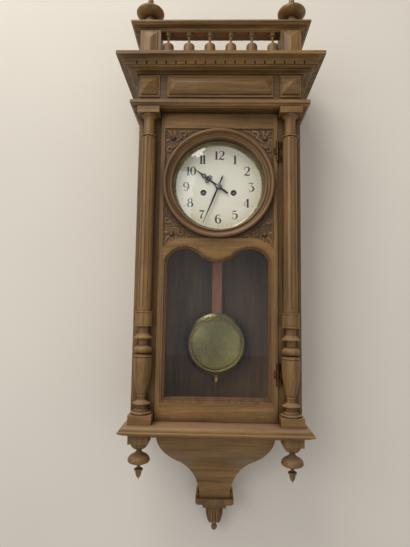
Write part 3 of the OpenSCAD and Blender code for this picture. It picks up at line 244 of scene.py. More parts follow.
class Grain(Effect):
    """Walnut grain that runs along the local Z of the vector that it is given."""

    title = "Walnut grain"
    takes = (("Vector", VECTOR), ("Light", COLOUR), ("Dark", COLOUR), ("Figure", FLOAT))
    gives = (("Color", COLOUR), ("Height", FLOAT))

    def wire(self, graph: Graph, taken) -> dict[str, bpy.types.NodeSocket]:
        """Wires broad figure, fine fibres and pores."""
        slow = graph.vector("MULTIPLY", taken["Vector"], (1, 1, 0.35))
        drift = graph.add("ShaderNodeTexNoise", {"Vector": slow, "Scale": 8.0, "Detail": 2.0})
        sway = graph.vector("SCALE", graph.vector("SUBTRACT", drift.outputs[1], (0.5, 0.5, 0.5)))
        sway.node.inputs["Scale"].default_value = 0.03
        place = graph.vector("ADD", taken["Vector"], sway)
        figure = graph.noise(graph.vector("MULTIPLY", place, (1, 1, 0.07)), 60.0, 5.0, 0.6)
        streak = graph.noise(graph.vector("MULTIPLY", place, (1, 1, 0.04)), 260.0, 4.0, 0.6)
        fibre = graph.noise(graph.vector("MULTIPLY", place, (1, 1, 0.03)), 1100.0, 3.0)
        holes = graph.noise(graph.vector("MULTIPLY", place, (1, 1, 0.025)), 1700.0, 1.0)
        pores = graph.between(holes, 0.58, 0.72)
        broad = graph.maths("MULTIPLY", graph.between(figure, 0.3, 0.7), taken["Figure"])
        share = graph.maths("MULTIPLY_ADD", graph.between(streak, 0.3, 0.72), 0.45, broad)
        fine = graph.maths("MULTIPLY_ADD", fibre, 0.22, share)
        colour = graph.mix(fine, taken["Dark"], taken["Light"])
        pored = graph.mix(graph.maths("MULTIPLY", pores, 0.45), colour, (0.02, 0.01, 0.005, 1.0))
        height = graph.maths("SUBTRACT", fibre, graph.maths("MULTIPLY", pores, 0.7))
        return {"Color": pored, "Height": height}


class Age(Effect):
    """Painted shade in the corners, rubbed edges, dust and painted top light on what faces up, and uneven
    polish.
    """

    title = "Age"
    takes = (("Color", COLOUR), ("Grime", FLOAT), ("Rub", FLOAT), ("Dust", FLOAT), ("Pale top colour", COLOUR))
    gives = (("Color", COLOUR), ("Mask", FLOAT))

    def wire(self, graph: Graph, taken) -> dict[str, bpy.types.NodeSocket]:
        """Wires the corner, edge and top masks."""
        place = graph.place()
        corner = graph.add("ShaderNodeAmbientOcclusion", {"Distance": 0.016}, samples=6)
        edge = graph.add("ShaderNodeAmbientOcclusion", {"Distance": 0.0028}, samples=6, inside=True,
                         only_local=True)
        patchy = graph.between(graph.noise(place, 26.0, 4.0, 0.6), 0.3, 0.7)
        # painted shade: ambient occlusion darkens the corners
        grime = graph.maths("MULTIPLY", graph.between(corner.outputs["AO"], 0.95, 0.25), taken["Grime"])
        rub = graph.maths("MULTIPLY", graph.between(edge.outputs["AO"], 0.75, 0.35), taken["Rub"])
        rub = graph.maths("MULTIPLY", rub, graph.between(patchy, -0.6, 1.0))
        # paler on what faces up: dust, and painted light from above
        up = graph.add("ShaderNodeSeparateXYZ", {0: graph.add("ShaderNodeNewGeometry").outputs["Normal"]})
        dust = graph.maths("MULTIPLY", graph.between(up.outputs["Z"], 0.35, 0.95), taken["Dust"])
        dust = graph.maths("MULTIPLY", dust, graph.between(patchy, -1.2, 0.9))
        patches = graph.maths("MULTIPLY", patchy, 0.22)
        uneven = graph.mix(patches, taken["Color"], (0.3, 0.2, 0.12, 1.0), "MULTIPLY")
        rubbed = graph.mix(rub, uneven, graph.mix(1.0, taken["Color"], (1.9, 1.8, 1.7, 1.0), "MULTIPLY"))
        dusty_and_lit = graph.mix(dust, rubbed, taken["Pale top colour"])
        # painted shade: the corners go down to a sixth of their colour
        corner_shaded = graph.mix(grime, dusty_and_lit, graph.mix(1.0, dusty_and_lit, (0.16, 0.12, 0.10, 1.0), "MULTIPLY"))
        return {"Color": corner_shaded, "Mask": graph.maths("MAXIMUM", grime, dust)}


class Tarnish(Effect):
    """Clouded metal: two tones, a fine brushing, and darkening in the corners."""

    title = "Tarnish"
    takes = (("Bright", COLOUR), ("Dull", COLOUR), ("Amount", FLOAT))
    gives = (("Color", COLOUR), ("Roughness", FLOAT), ("Height", FLOAT))

    def wire(self, graph: Graph, taken) -> dict[str, bpy.types.NodeSocket]:
        """Wires clouds, specks and corners."""
        place = graph.place()
        clouds = graph.between(graph.noise(place, 34.0, 5.0, 0.62), 0.32, 0.7)
        specks = graph.between(graph.noise(place, 620.0, 2.0), 0.55, 0.75)
        corner = graph.add("ShaderNodeAmbientOcclusion", {"Distance": 0.008}, samples=6)
        dirt = graph.between(corner.outputs["AO"], 0.9, 0.3)
        share = graph.maths("MULTIPLY", clouds, taken["Amount"])
        share = graph.maths("MAXIMUM", share, graph.maths("MULTIPLY", dirt, 0.8))
        share = graph.maths("MULTIPLY_ADD", specks, 0.15, share)
        colour = graph.mix(share, taken["Bright"], taken["Dull"])
        rough = graph.maths("MULTIPLY_ADD", share, 0.28, 0.2)
        return {"Color": colour, "Roughness": rough, "Height": specks}


class Effects:
    """The shared effects of the clock's materials."""

    def __init__(self) -> None:
        """Builds each group once."""
        self.grain = Grain()
        self.age = Age()
        self.tarnish = Tarnish()


@dataclass(frozen=True)
class Wood:
    """Polished walnut.

    Attributes:
        name: Name of the material.
        light: Colour between the figure's lines.
        dark: Colour of the figure's lines.
        along: Direction of the grain.
        figure: Strength of the broad figure.
        grime: Darkening in corners, which is painted shade.
        rub: Lightening of edges.
        dust: Paleness of what faces up: dust, and painted top light.
        round_at: Centre of a ring that the grain follows, or None.
        punched: Depth in metres of the punched dots of a carved ground, whose pits are also darkened with
            painted shade.
        rough: Roughness of the polish.
    """

    name: str
    light: Colour
    dark: Colour
    along: Along = Along.HEIGHT
    figure: float = 0.55
    # strength of the painted shade in the corners
    grime: float = 0.8
    rub: float = 0.35
    # strength of the dust and painted top light on what faces up
    dust: float = 0.55
    round_at: tuple[float, float, float] | None = None
    punched: float = 0.0
    rough: float = 0.42

    def build(self, effects: Effects) -> bpy.types.Material:
        """Makes the material.

        Args:
            effects: The shared effects.

        Returns:
            The material.
        """
        material, graph, shader = new_material(self.name)
        place = graph.place()
        if self.round_at:
            place = self.ring_place(graph, place)
        turned = graph.add("ShaderNodeMapping", {"Vector": place, "Rotation": self.along.value}).outputs[0]
        grain = effects.grain.use(graph, {"Vector": turned, "Light": self.light, "Dark": self.dark,
                                          "Figure": self.figure})
        # the group paints shade into the corners and light onto what faces up, besides wear, dust and uneven
        # polish
        aged = effects.age.use(graph, {"Color": grain.outputs["Color"], "Grime": self.grime, "Rub": self.rub,
                                       # the pale pinkish colour of the dust and of the painted top light
                                       "Dust": self.dust, "Pale top colour": tone(184, 146, 114)})
        colour, height, depth = aged.outputs["Color"], grain.outputs["Height"], 0.00012
        if self.punched:
            cells = graph.add("ShaderNodeTexVoronoi", {"Vector": place, "Scale": 340.0, "Randomness": 0.8})
            pits = graph.between(cells.outputs["Distance"], 0.15, 0.6)
            # painted shade: the punched pits are darkened to a quarter of the wood's colour
            colour = graph.mix(pits, graph.mix(1.0, colour, (0.25, 0.22, 0.2, 1), "MULTIPLY"), colour)
            height, depth = pits, self.punched
        bump = graph.add("ShaderNodeBump", {"Height": height, "Distance": depth, "Strength": 0.6})
        rough = graph.maths("MULTIPLY_ADD", aged.outputs["Mask"], 0.3, self.rough)
        graph.feed(shader, {"Base Color": colour, "Roughness": rough, "Normal": bump.outputs[0],
                            "Specular IOR Level": 0.4})
        return material

    def ring_place(self, graph: Graph, place: bpy.types.NodeSocket) -> bpy.types.NodeSocket:
        """Unrolls the ring, so that the grain runs around it.

        Args:
            graph: The material's graph.
            place: Object coordinates.

        Returns:
            Distance from the centre, depth, and distance around the ring.
        """
        centred = graph.vector("SUBTRACT", place, self.round_at)
        parts = graph.add("ShaderNodeSeparateXYZ", {0: centred})
        flat = graph.vector("MULTIPLY", centred, (1, 0, 1))
        reach = graph.add("ShaderNodeVectorMath", {0: flat}, operation="LENGTH").outputs["Value"]
        angle = graph.maths("ARCTAN2", parts.outputs["X"], parts.outputs["Z"])
        around = graph.maths("MULTIPLY", angle, 0.095)
        joined = graph.add("ShaderNodeCombineXYZ", {"X": reach, "Y": parts.outputs["Y"], "Z": around})
        return joined.outputs[0]


@dataclass(frozen=True)
class Metal:
    """A clouded metal.

    Attributes:
        name: Name of the material.
        bright: Colour of the clean metal.
        dull: Colour of the tarnish.
        amount: How much of it is tarnished.
        metallic: Metallic value of the shader.
    """

    name: str
    bright: Colour
    dull: Colour
    amount: float = 0.5
    metallic: float = 1.0

    def build(self, effects: Effects) -> bpy.types.Material:
        """Makes the material from the tarnish effect."""
        material, graph, shader = new_material(self.name)
        cloud = effects.tarnish.use(graph, {"Bright": self.bright, "Dull": self.dull, "Amount": self.amount})
        bump = graph.add("ShaderNodeBump", {"Height": cloud.outputs["Height"], "Distance": 0.00004,
                                            "Strength": 0.3})
        graph.feed(shader, {"Base Color": cloud.outputs["Color"], "Roughness": cloud.outputs["Roughness"],
                            "Normal": bump.outputs[0], "Metallic": self.metallic})
        return material


@dataclass(frozen=True)
class Enamel:
    """The cream dial, a little yellowed and darkened with painted shade towards its edge, and crazed with
    fine clouds.
    """

    name: str = "cream_dial"
    middle: Colour = tone(243, 237, 219)
    rim: Colour = tone(226, 217, 190)
    radius: float = 80 * MM

    def build(self, centre: Vector) -> bpy.types.Material:
        """Makes the material.

        Args:
            centre: Centre of the dial.

        Returns:
            The material.
        """
        material, graph, shader = new_material(self.name)
        place = graph.place()
        flat = graph.vector("MULTIPLY", graph.vector("SUBTRACT", place, tuple(centre)), (1, 0, 1))
        reach = graph.add("ShaderNodeVectorMath", {0: flat}, operation="LENGTH").outputs["Value"]
        # darker and yellower towards the rim: yellowing, and painted shade
        edge = graph.between(reach, self.radius * 0.55, self.radius * 1.05)
        clouds = graph.between(graph.noise(place, 45.0, 5.0, 0.6), 0.35, 0.8)
        colour = graph.mix(edge, self.middle, self.rim)
        colour = graph.mix(graph.maths("MULTIPLY", clouds, 0.35), colour, self.rim)
        rough = graph.maths("MULTIPLY_ADD", clouds, 0.15, 0.3)
        graph.feed(shader, {"Base Color": colour, "Roughness": rough})
        return material


@dataclass(frozen=True)
class Ink:
    """Fired black of the figures, slightly worn."""

    name: str = "dial_black"
    black: Colour = tone(28, 28, 30)
    worn: Colour = tone(70, 70, 66)

    def build(self) -> bpy.types.Material:
        """Makes the material."""
        material, graph, shader = new_material(self.name)
        place = graph.place()
        wear = graph.between(graph.noise(place, 900.0, 3.0), 0.5, 0.8)
        graph.feed(shader, {"Base Color": graph.mix(wear, self.black, self.worn), "Roughness": 0.4})
        return material


@dataclass(frozen=True)
class Glass:
    """Old clear glass that lets shadow rays through, with a faint film on it."""

    name: str = "old_glass"
    tint: Colour = (0.98, 0.985, 0.975, 1.0)

    def build(self) -> bpy.types.Material:
        """Makes the material."""
        material, graph, shader = new_material(self.name)
        place = graph.place()
        film = graph.between(graph.noise(place, 18.0, 4.0, 0.6), 0.3, 0.8)
        graph.feed(shader, {"Roughness": graph.maths("MULTIPLY", film, 0.03), "Base Color": self.tint,
                            "Transmission Weight": 1.0, "IOR": 1.45})
        clear = graph.add("ShaderNodeBsdfTransparent", {"Color": (0.95, 0.955, 0.945, 1.0)})
        path = graph.add("ShaderNodeLightPath")
        both = graph.maths("MAXIMUM", path.outputs["Is Shadow Ray"], path.outputs["Is Diffuse Ray"])
        mixed = graph.add("ShaderNodeMixShader", {0: both, 1: shader.outputs[0], 2: clear.outputs[0]})
        graph.feed(material.node_tree.nodes["Material Output"], {"Surface": mixed.outputs[0]})
        return material


def new_material(name: str) -> tuple[bpy.types.Material, Graph, bpy.types.Node]:
    """Makes an empty material with a Principled shader.

    Args:
        name: Name of the material.

    Returns:
        The material, its graph and its shader node.
    """
    material = bpy.data.materials.new(name)
    material.use_nodes = True
    return material, Graph(material.node_tree), material.node_tree.nodes["Principled BSDF"]


@dataclass(frozen=True)
class Woods:
    """Colours of the walnut: the polished boards, the carving, and darker copies that paint the shade of the
    recessed boards and of the boards inside the case.
    """

    light: Colour = tone(158, 119, 66)
    dark: Colour = tone(62, 43, 21)
    golden: Colour = tone(162, 122, 66)
    carved: Colour = tone(148, 110, 66)
    shade_light: Colour = tone(122, 91, 54)
    shade_dark: Colour = tone(60, 42, 23)
    # darker copy of the walnut for the boards inside the case: painted shade
    inside_light: Colour = tone(124, 94, 62)
    inside_dark: Colour = tone(54, 39, 24)


class Palette:
    """Every finish of the clock, built once."""

    def __init__(self, dial_centre: Vector) -> None:
        """Builds the finishes.

        Args:
            dial_centre: Centre of the dial.
        """
        effects = Effects()
        woods = Woods()
        self.upright = Wood("walnut_upright", woods.light, woods.dark).build(effects)
        self.across = Wood("walnut_across", woods.light, woods.dark, Along.WIDTH).build(effects)
        self.golden = Wood("walnut_golden", woods.golden, woods.dark, Along.WIDTH, figure=0.7).build(effects)
        self.frieze = Wood("walnut_frieze", woods.shade_light, woods.shade_dark, Along.WIDTH).build(effects)
        self.inside = Wood("walnut_inside", woods.inside_light, woods.inside_dark, dust=0.2).build(effects)
        self.turned = Wood("walnut_turned", woods.light, woods.dark, grime=1.0, rub=0.5).build(effects)
        self.carved = Wood("walnut_carved", woods.carved, woods.dark, grime=1.0, rub=0.6).build(effects)
        self.ground = Wood("walnut_ground", woods.shade_light, woods.shade_dark, Along.WIDTH, grime=0.6,
                           punched=0.0008).build(effects)
        self.ring = Wood("walnut_ring", woods.carved, woods.dark, round_at=tuple(dial_centre)).build(effects)
        self.brass = Metal("brass", tone(196, 160, 92), tone(110, 84, 44), 0.5).build(effects)
        self.aged = Metal("aged_brass", tone(104, 80, 48), tone(44, 33, 22), 0.8).build(effects)
        self.bezel = Metal("bezel_bronze", tone(150, 140, 112), tone(70, 62, 46), 0.6).build(effects)
        self.bob = Metal("bob_brass", tone(142, 138, 92), tone(88, 84, 54), 0.55).build(effects)
        self.steel = Metal("steel", tone(170, 172, 176), tone(92, 88, 82), 0.4).build(effects)
        self.blued = Metal("blued_steel", tone(26, 28, 36), tone(14, 14, 17), 0.6, 0.3).build(effects)
        self.iron = Metal("iron", tone(58, 57, 56), tone(34, 31, 29), 0.6, 0.6).build(effects)
        self.rod = Wood("rod_wood", tone(182, 124, 82), tone(122, 78, 48), figure=0.3,
                        dust=0.1).build(effects)
        self.dial = Enamel().build(dial_centre)
        self.ink = Ink().build()
        self.glass = Glass().build()


Outline = list[tuple[float, float]]


def arc(middle: tuple[float, float], reach: tuple[float, float], start: float, end: float,
        steps: int = 8) -> Outline:
    """A stretch of an oval, for the outline of a turned or moulded piece.

    Args:
        middle: Centre of the oval.
        reach: Half of its width and height.
        start: Angle in degrees at which the stretch begins.
        end: Angle at which it ends.
        steps: Number of its edges.

    Returns:
        The points.
    """
    turns = [math.radians(start + (end - start) * i / steps) for i in range(steps + 1)]
    return [(middle[0] + reach[0] * math.cos(t), middle[1] + reach[1] * math.sin(t)) for t in turns]


def box_mm(node: str) -> tuple[Vector, Vector]:
    """Gives the lowest and highest corners of a node of the frame, in millimetres."""
    low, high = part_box(node)
    return Vector(low) / MM, Vector(high) / MM


class Bench:
    """Hand operations that the classes below share."""

    @staticmethod
    def outline(points: Outline, closed: bool) -> bpy.types.Object:
        """Draws edges through points of (across, up) in millimetres on the plane of the wall.

        Args:
            points: The points.
            closed: Whether the last point joins the first.

        Returns:
            The edges as a mesh object.
        """
        bpy.ops.curve.primitive_bezier_curve_add(radius=1.0, location=(0, 0, 0))
        drawn = bpy.context.object
        drawn.data.splines.clear()
        line = drawn.data.splines.new("POLY")
        line.points.add(len(points) - 1)
        for knot, (across, up) in zip(line.points, points):
            knot.co = (across * MM, 0, up * MM, 1)
        line.use_cyclic_u = closed
        Bench.pick(drawn)
        bpy.ops.object.convert(target="MESH")
        return bpy.context.object

    @staticmethod
    def turned(points: Outline, closed: bool = False) -> bpy.types.Object:
        """Turns an outline of (radius, height) about the Z axis.

        Args:
            points: The outline.
            closed: Whether the outline is that of a ring and not of a solid piece.

        Returns:
            The turned piece.
        """
        made = Bench.outline(points, closed)
        lathe = made.modifiers.new("lathe", "SCREW")
        lathe.steps = lathe.render_steps = 72
        lathe.use_merge_vertices = True
        lathe.merge_threshold = 0.00001
        bpy.ops.object.modifier_apply(modifier=lathe.name)
        return made

    @staticmethod
    def slab(points: Outline, near: float, far: float) -> bpy.types.Object:
        """Saws a board of an outline.

        Args:
            points: The outline, as (across, up).
            near: Distance of its back from the wall.
            far: Distance of its face from the wall.

        Returns:
            The board.
        """
        made = Bench.outline(points, True)
        bpy.ops.object.mode_set(mode="EDIT")
        bpy.ops.mesh.select_all(action="SELECT")
        bpy.ops.mesh.edge_face_add()
        bpy.ops.transform.translate(value=(0, -near * MM, 0))
        bpy.ops.mesh.extrude_region_move(TRANSFORM_OT_translate={"value": (0, (near - far) * MM, 0)})
        bpy.ops.mesh.select_all(action="SELECT")
        bpy.ops.mesh.normals_make_consistent(inside=False)
        bpy.ops.object.mode_set(mode="OBJECT")
        return made

    @staticmethod
    def crossed(half: Outline, front: Outline) -> bpy.types.Object:
        """Saws a block to one outline from the front and to another from the side, so that its edges mitre.

        Args:
            half: Half width against height.
            front: Depth against height.

        Returns:
            The block.
        """
        spare = 1.0
        wide, deep = max(a for a, _ in half) + spare, max(a for a, _ in front) + spare
        made = Bench.slab(half + [(-a, up) for a, up in reversed(half)], 0, deep)
        side = Bench.slab([(0, front[0][1])] + front + [(0, front[-1][1])], -wide, wide)
        side.rotation_euler.z = math.radians(-90)
        Bench.cut(made, side, "INTERSECT")
        return made

    @staticmethod
    def cut(piece: bpy.types.Object, tool: bpy.types.Object, operation: str) -> None:
        """Cuts a piece with a tool, which is used up."""
        Bench.pick(piece)
        cut = piece.modifiers.new("cut", "BOOLEAN")
        cut.operation = operation
        cut.solver = "MANIFOLD"
        cut.object = tool
        bpy.ops.object.modifier_apply(modifier=cut.name)
        bpy.data.objects.remove(tool)

    @staticmethod
    def bevel(offset: float, segments: int) -> None:
        """Bevels every edge of the active object."""
        bpy.ops.object.mode_set(mode="EDIT")
        bpy.ops.mesh.select_all(action="SELECT")
        bpy.ops.mesh.bevel(offset=offset, segments=segments)
        bpy.ops.object.mode_set(mode="OBJECT")

    @staticmethod
    def mitred(half_w: float, depth: float, points: Outline) -> bpy.types.Object:
        """Makes a moulding that runs along the front and both sides.

        Args:
            half_w: Half of the width from which the outline reaches out.
            depth: Depth from which it reaches out.
            points: The outline, as (reach, height).

        Returns:
            The moulding.
        """
        return Bench.crossed([(half_w + a, up) for a, up in points], [(depth + a, up) for a, up in points])

    @staticmethod
    def pick(*objects: bpy.types.Object) -> None:
        """Selects these objects only, and makes the first one active."""
        if bpy.context.mode != "OBJECT":
            bpy.ops.object.mode_set(mode="OBJECT")
        bpy.ops.object.select_all(action="DESELECT")
        for item in objects:
            item.select_set(True)
        bpy.context.view_layer.objects.active = objects[0]

    @staticmethod
    def tube(points: Sequence[Vector], radii: Sequence[float], sides: int = 1,
             smooth: int = 6) -> bpy.types.Object:
        """Draws a curve through the points and turns it into a tapering tube.

        Args:
            points: The points, in the frame's metres.
            radii: Radius of the tube at each point.
            sides: Bevel resolution of the tube.
            smooth: Segments between two points.

        Returns:
            The tube as a mesh object.
        """
        bpy.ops.curve.primitive_bezier_curve_add(radius=1.0, location=(0, 0, 0))
        drawn = bpy.context.object
        knots = drawn.data.splines[0].bezier_points
        knots.add(len(points) - len(knots))
        for knot, point, radius in zip(knots, points, radii):
            knot.handle_left_type = knot.handle_right_type = "AUTO"
            knot.co = point
            knot.radius = radius
        drawn.data.bevel_depth = 1.0
        drawn.data.bevel_resolution = sides
        drawn.data.resolution_u = smooth
        drawn.data.use_fill_caps = True
        Bench.pick(drawn)
        bpy.ops.object.convert(target="MESH")
        return bpy.context.object

    @staticmethod
    def copies(model: bpy.types.Object, places: Iterable[Matrix]) -> list[bpy.types.Object]:
        """Copies a model to each place, each copy with its own mesh, and removes the model."""
        made = []
        for place in places:
            twin = model.copy()
            twin.data = model.data.copy()
            bpy.context.scene.collection.objects.link(twin)
            twin.matrix_world = place
            made.append(twin)
        bpy.data.objects.remove(model)
        return made

    @staticmethod
    def finish(parts: Sequence[bpy.types.Object], name: str, body: str, slot: Slot,
               material: bpy.types.Material, crease: float = 40.0) -> bpy.types.Object:
        """Joins the parts into one piece at the origin, dresses it and lets it ride on a body.

        Args:
            parts: The parts.
            name: Name of the piece.
            body: Body that it rides on.
            slot: The record's slot; not used.
            material: Its material.
            crease: Angle in degrees above which an edge stays sharp.

        Returns:
            The piece.
        """
        for part in parts:
            Bench.pick(part)
            bpy.ops.object.transform_apply(location=True, rotation=True, scale=True)
        Bench.pick(*parts)
        if len(parts) > 1:
            bpy.ops.object.join()
        piece = bpy.context.object
        bpy.ops.object.mode_set(mode="EDIT")
        bpy.ops.mesh.select_all(action="SELECT")
        bpy.ops.mesh.remove_doubles(threshold=0.000001)
        bpy.ops.mesh.normals_make_consistent(inside=False)
        bpy.ops.object.mode_set(mode="OBJECT")
        bpy.ops.object.shade_smooth_by_angle(angle=math.radians(crease))
        piece.name = piece.data.name = name
        piece.data.materials.clear()
        piece.data.materials.append(material)
        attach(piece, body)
        LOG.info("%s: %d faces on %s", name, len(piece.data.polygons), body)
        return piece


class Dressing:
    """Which nodes of the frame take which finish of the palette.

    The nodes that Joinery replaces aren't listed, because their finer pieces bring their own finish.
    """

    finishes: dict[str, tuple[str, ...]] = {
        "upright": ("case_boards", "case_frame", "door_stiles", "gallery_posts"),
        "across": ("architrave", "crown_moulding", "dentil_strip", "cornice_board", "gallery_rail",
                   "column_blocks", "door_rails"),
        "turned": ("columns",),
        "carved": ("glass_beads",),
        "golden": ("scallop_rail",),
        "frieze": ("frieze_board",),
        "inside": ("backboard",),
        "ground": ("spandrel_panel",),
        "aged": ("hanging_plate", "hinge_leaves", "door_hinge_leaves"),
        "brass": ("back_plate", "front_plate", "time_barrel", "strike_barrel", "second_wheel", "centre_wheel",
                  "third_wheel", "escape_wheel", "cannon_pinion", "minute_wheel", "hour_wheel", "suspension",
                  "rating_nut", "pin_wheel", "gathering_wheel", "warning_wheel", "fly"),
        "steel": ("time_winder", "strike_winder", "pallets", "pendulum_fittings", "hammer"),
        "blued": ("hour_hand", "minute_hand", "gong"),
        "iron": ("movement_bracket",),
        "bob": ("bob",),
        "bezel": ("dial_bezel",),
        "rod": ("pendulum_rod",),
        "dial": ("dial",),
        "glass": ("door_glass",),
    }

    def dress(self, palette: Palette) -> None:
        """Gives each node its finish."""
        for finish, nodes in self.finishes.items():
            for node in nodes:
                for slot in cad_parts[node].material_slots:
                    slot.material = getattr(palette, finish)


@dataclass
class Joinery:
    """Turned, sawn and moulded pieces of the case with their finer outlines, in millimetres.

    Attributes:
        ball: Radius of a finial's ball.
        ball_half_h: Half of the height of that ball.
        finial_out: How far each finial stands outside the middle of its post.
        spindles: Number of spindles in the gallery.
        spindle_r: Radius of a spindle at its foot.
        drop_in: Distance of a pendant's middle from the end of the ledge.
        nose: Share of the ledge and its moulding that is the ledge's.
        neck: Half width of the console's neck.
        neck_d: Depth of the console's neck.
        turn_down: Distance from the console's top to the turn of its curve.
        border: Width of the frame around a raised frieze block.
    """

    ball: float = 26.0
    ball_half_h: float = 10.5
    finial_out: float = 3.0
    spindles: int = 6
    spindle_r: float = 10.35
    drop_in: float = 32.5
    nose: float = 0.61
    neck: float = 29.3
    neck_d: float = 46.0
    turn_down: float = 66.0
    border: float = 3.2

    def finish(self, parts: list[bpy.types.Object], node: str, material: bpy.types.Material,
               body: str = "case") -> None:
        """Finishes the parts as one piece that stands for a node of the frame.

        Args:
            parts: The parts.
            node: The node.
            material: The piece's material.
            body: Body that it rides on.
        """
        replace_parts(Bench.finish(parts, f"{node}_fine", body, Slot.WALNUT, material), node)

    def finials(self, palette: Palette) -> None:
        """Turns the two flattened ball finials."""
        low, high = box_mm("finials")
        middle, crown = 13.4 + self.ball_half_h, 13.4 + 2 * self.ball_half_h
        model = Bench.turned([(0, 0), (15, 0), (15, 3)] + arc((8, 3), (6, 5), 0, 90) + [(8, 12.8)]
                             + arc((0, middle), (self.ball, self.ball_half_h), -72, 78, 24)
                             + [(5, crown + 0.4), (5, crown + 2)] + arc((6.4, crown + 4), (1.8, 1.6), -90, 90)
                             + [(4.4, crown + 6.2)] + arc((0, crown + 7.6), (5.6, 17), 8, 82, 10)
                             + [(0.8, crown + 26.6), (0, crown + 26.6)])
        out = high.x - self.ball + self.finial_out
        places = [Vector((way * out, (low.y + high.y) / 2, low.z)) * MM for way in (-1, 1)]
        self.finish(Bench.copies(model, [Matrix.Translation(p) for p in places]), "finials", palette.turned)

    def gallery_spindles(self, palette: Palette) -> None:
        """Turns the six spindles, each a stout block under a thin neck."""
        low, high = box_mm("gallery_spindles")
        height = high.z - low.z
        k = height / 56
        outline = ([(0, 0), (9, 0), (9, 2), (self.spindle_r, 2.2), (self.spindle_r, 28)]
                   + arc((3.4, 28), (6.95, 6), 10, 80) + [(2.7, 35.5), (2.2, 38), (2.2, 42)]
                   + arc((2.6, 45.7), (0.8, 1.8), -90, 90) + arc((3.2, 51), (2.8, 2.5), -90, 90)
                   + [(5.5, 54), (5.5, 56), (0, 56)])
        model = Bench.turned([(radius, up * k) for radius, up in outline])
        pitch = (high.x - low.x - 2 * self.spindle_r) / (self.spindles - 1)
        places = [Vector((low.x + self.spindle_r + i * pitch, (low.y + high.y) / 2, low.z)) * MM
                  for i in range(self.spindles)]
        twins = Bench.copies(model, [Matrix.Translation(p) for p in places])
        self.finish(twins, "gallery_spindles", palette.turned)

    def pendants(self, palette: Palette) -> None:
        """Turns the two drops under the ledge, each under its square block."""
        low, high = box_mm("pendants")
        edge = box_mm("ledge")[1].x
        block, side = 13.0, 35.0
        drop = Bench.turned([(0, block), (16.5, block), (16.5, 14.5)] + arc((4.4, 14.5), (10.6, 10), 0, 90)
                            + [(4.4, 27), (5.4, 28.6), (8, 31.2)] + arc((0, 43), (19.2, 12.4), -62, 0, 10)
                            + arc((0, 43), (19.2, 6.6), 8, 72) + [(3, 49.8), (3, 56.4)]
                            + arc((4, 58), (3.5, 1.6), -90, 0, 4) + [(7.5, 59.6)]
                            + arc((0, 59.4), (5.6, 13.4), 8, 80) + [(0.8, 75), (0, 75)])
        places = [Vector((way * (edge - self.drop_in), (low.y + high.y) / 2, high.z)) * MM for way in (-1, 1)]
        upside_down = Matrix.Diagonal((1, 1, -1, 1))
        parts = Bench.copies(drop, [Matrix.Translation(p) @ upside_down for p in places])
        for place in places:
            bpy.ops.mesh.primitive_cube_add(size=1, location=place - Vector((0, 0, block / 2 * MM)))
            cube = bpy.context.object
            cube.scale = Vector((side, side, block)) * MM
            bpy.ops.object.transform_apply(location=False, rotation=False, scale=True)
            Bench.bevel(0.5 * MM, 2)
            parts.append(cube)
        self.finish(parts, "pendants", palette.turned)

    def ledge(self, palette: Palette) -> None:
        """Moulds the ledge with its round nose, and the moulding under it."""
        low, high = box_mm("ledge")
        foot = box_mm("base_moulding")[0].z
        both = high.z - foot
        split = high.z - both * self.nose
        nose, base = high.z - split, split - foot
        parts = Bench.mitred(high.x - 3, -low.y - 3, arc((1, split + 2), (2, 2), -90, 90)
                             + [(0.2, split + 4.2)]
                             + arc((-9, split + 4.4), (9, nose - 4.8), 10, 80, 6) + [(-9, high.z)])
        self.finish([parts], "ledge", palette.across)
        under = Bench.mitred(high.x - 15.5, -low.y - 17, [(0, foot), (0, foot + base * 0.2)]
                             + arc((7, foot + base * 0.2), (-6, base * 0.35), 0, 90, 6)
                             + [(8.5, foot + base * 0.55), (8.5, foot + base * 0.7)]
                             + arc((8.5, split), (4.5, -base * 0.3), 90, 0, 6))
        self.finish([under], "base_moulding", palette.across)

    def console_edge(self, wide: float, neck: float, top: float, foot: float) -> Outline:
        """Half width or depth of the console: a swelling shoulder, then a sweep into the neck.

        Args:
            wide: Its value at the top.
            neck: Its value at the neck.
            top: Height of the top.
            foot: Height of the foot.

        Returns:
            The outline, from the top down.
        """
        shoulder, share, slope = 3.0, 0.445, 45.0
        middle = neck + (wide - neck) * share
        steps = [i / 12 for i in range(13)]
        fall = self.turn_down - shoulder
        swell = [(middle + (wide - middle) * (1 - t * t), top - shoulder - fall * t) for t in steps]
        sweep = []
        for t in steps[1:]:
            turn = math.radians(slope + (90 - slope) * t)
            drawn = (1 - math.sin(turn)) / (1 - math.sin(math.radians(slope)))
            left = math.cos(turn) / math.cos(math.radians(slope))
            sweep.append((neck + (middle - neck) * drawn, foot + (top - self.turn_down - foot) * left))
        return [(wide, top)] + swell + sweep

    def console(self, palette: Palette) -> None:
        """Saws the console from the front and from the side."""
        low, high = box_mm("console")
        sawn = Bench.crossed(self.console_edge(high.x, self.neck, high.z, low.z),
                             self.console_edge(-low.y, self.neck_d, high.z, low.z))
        self.finish([sawn], "console", palette.across)

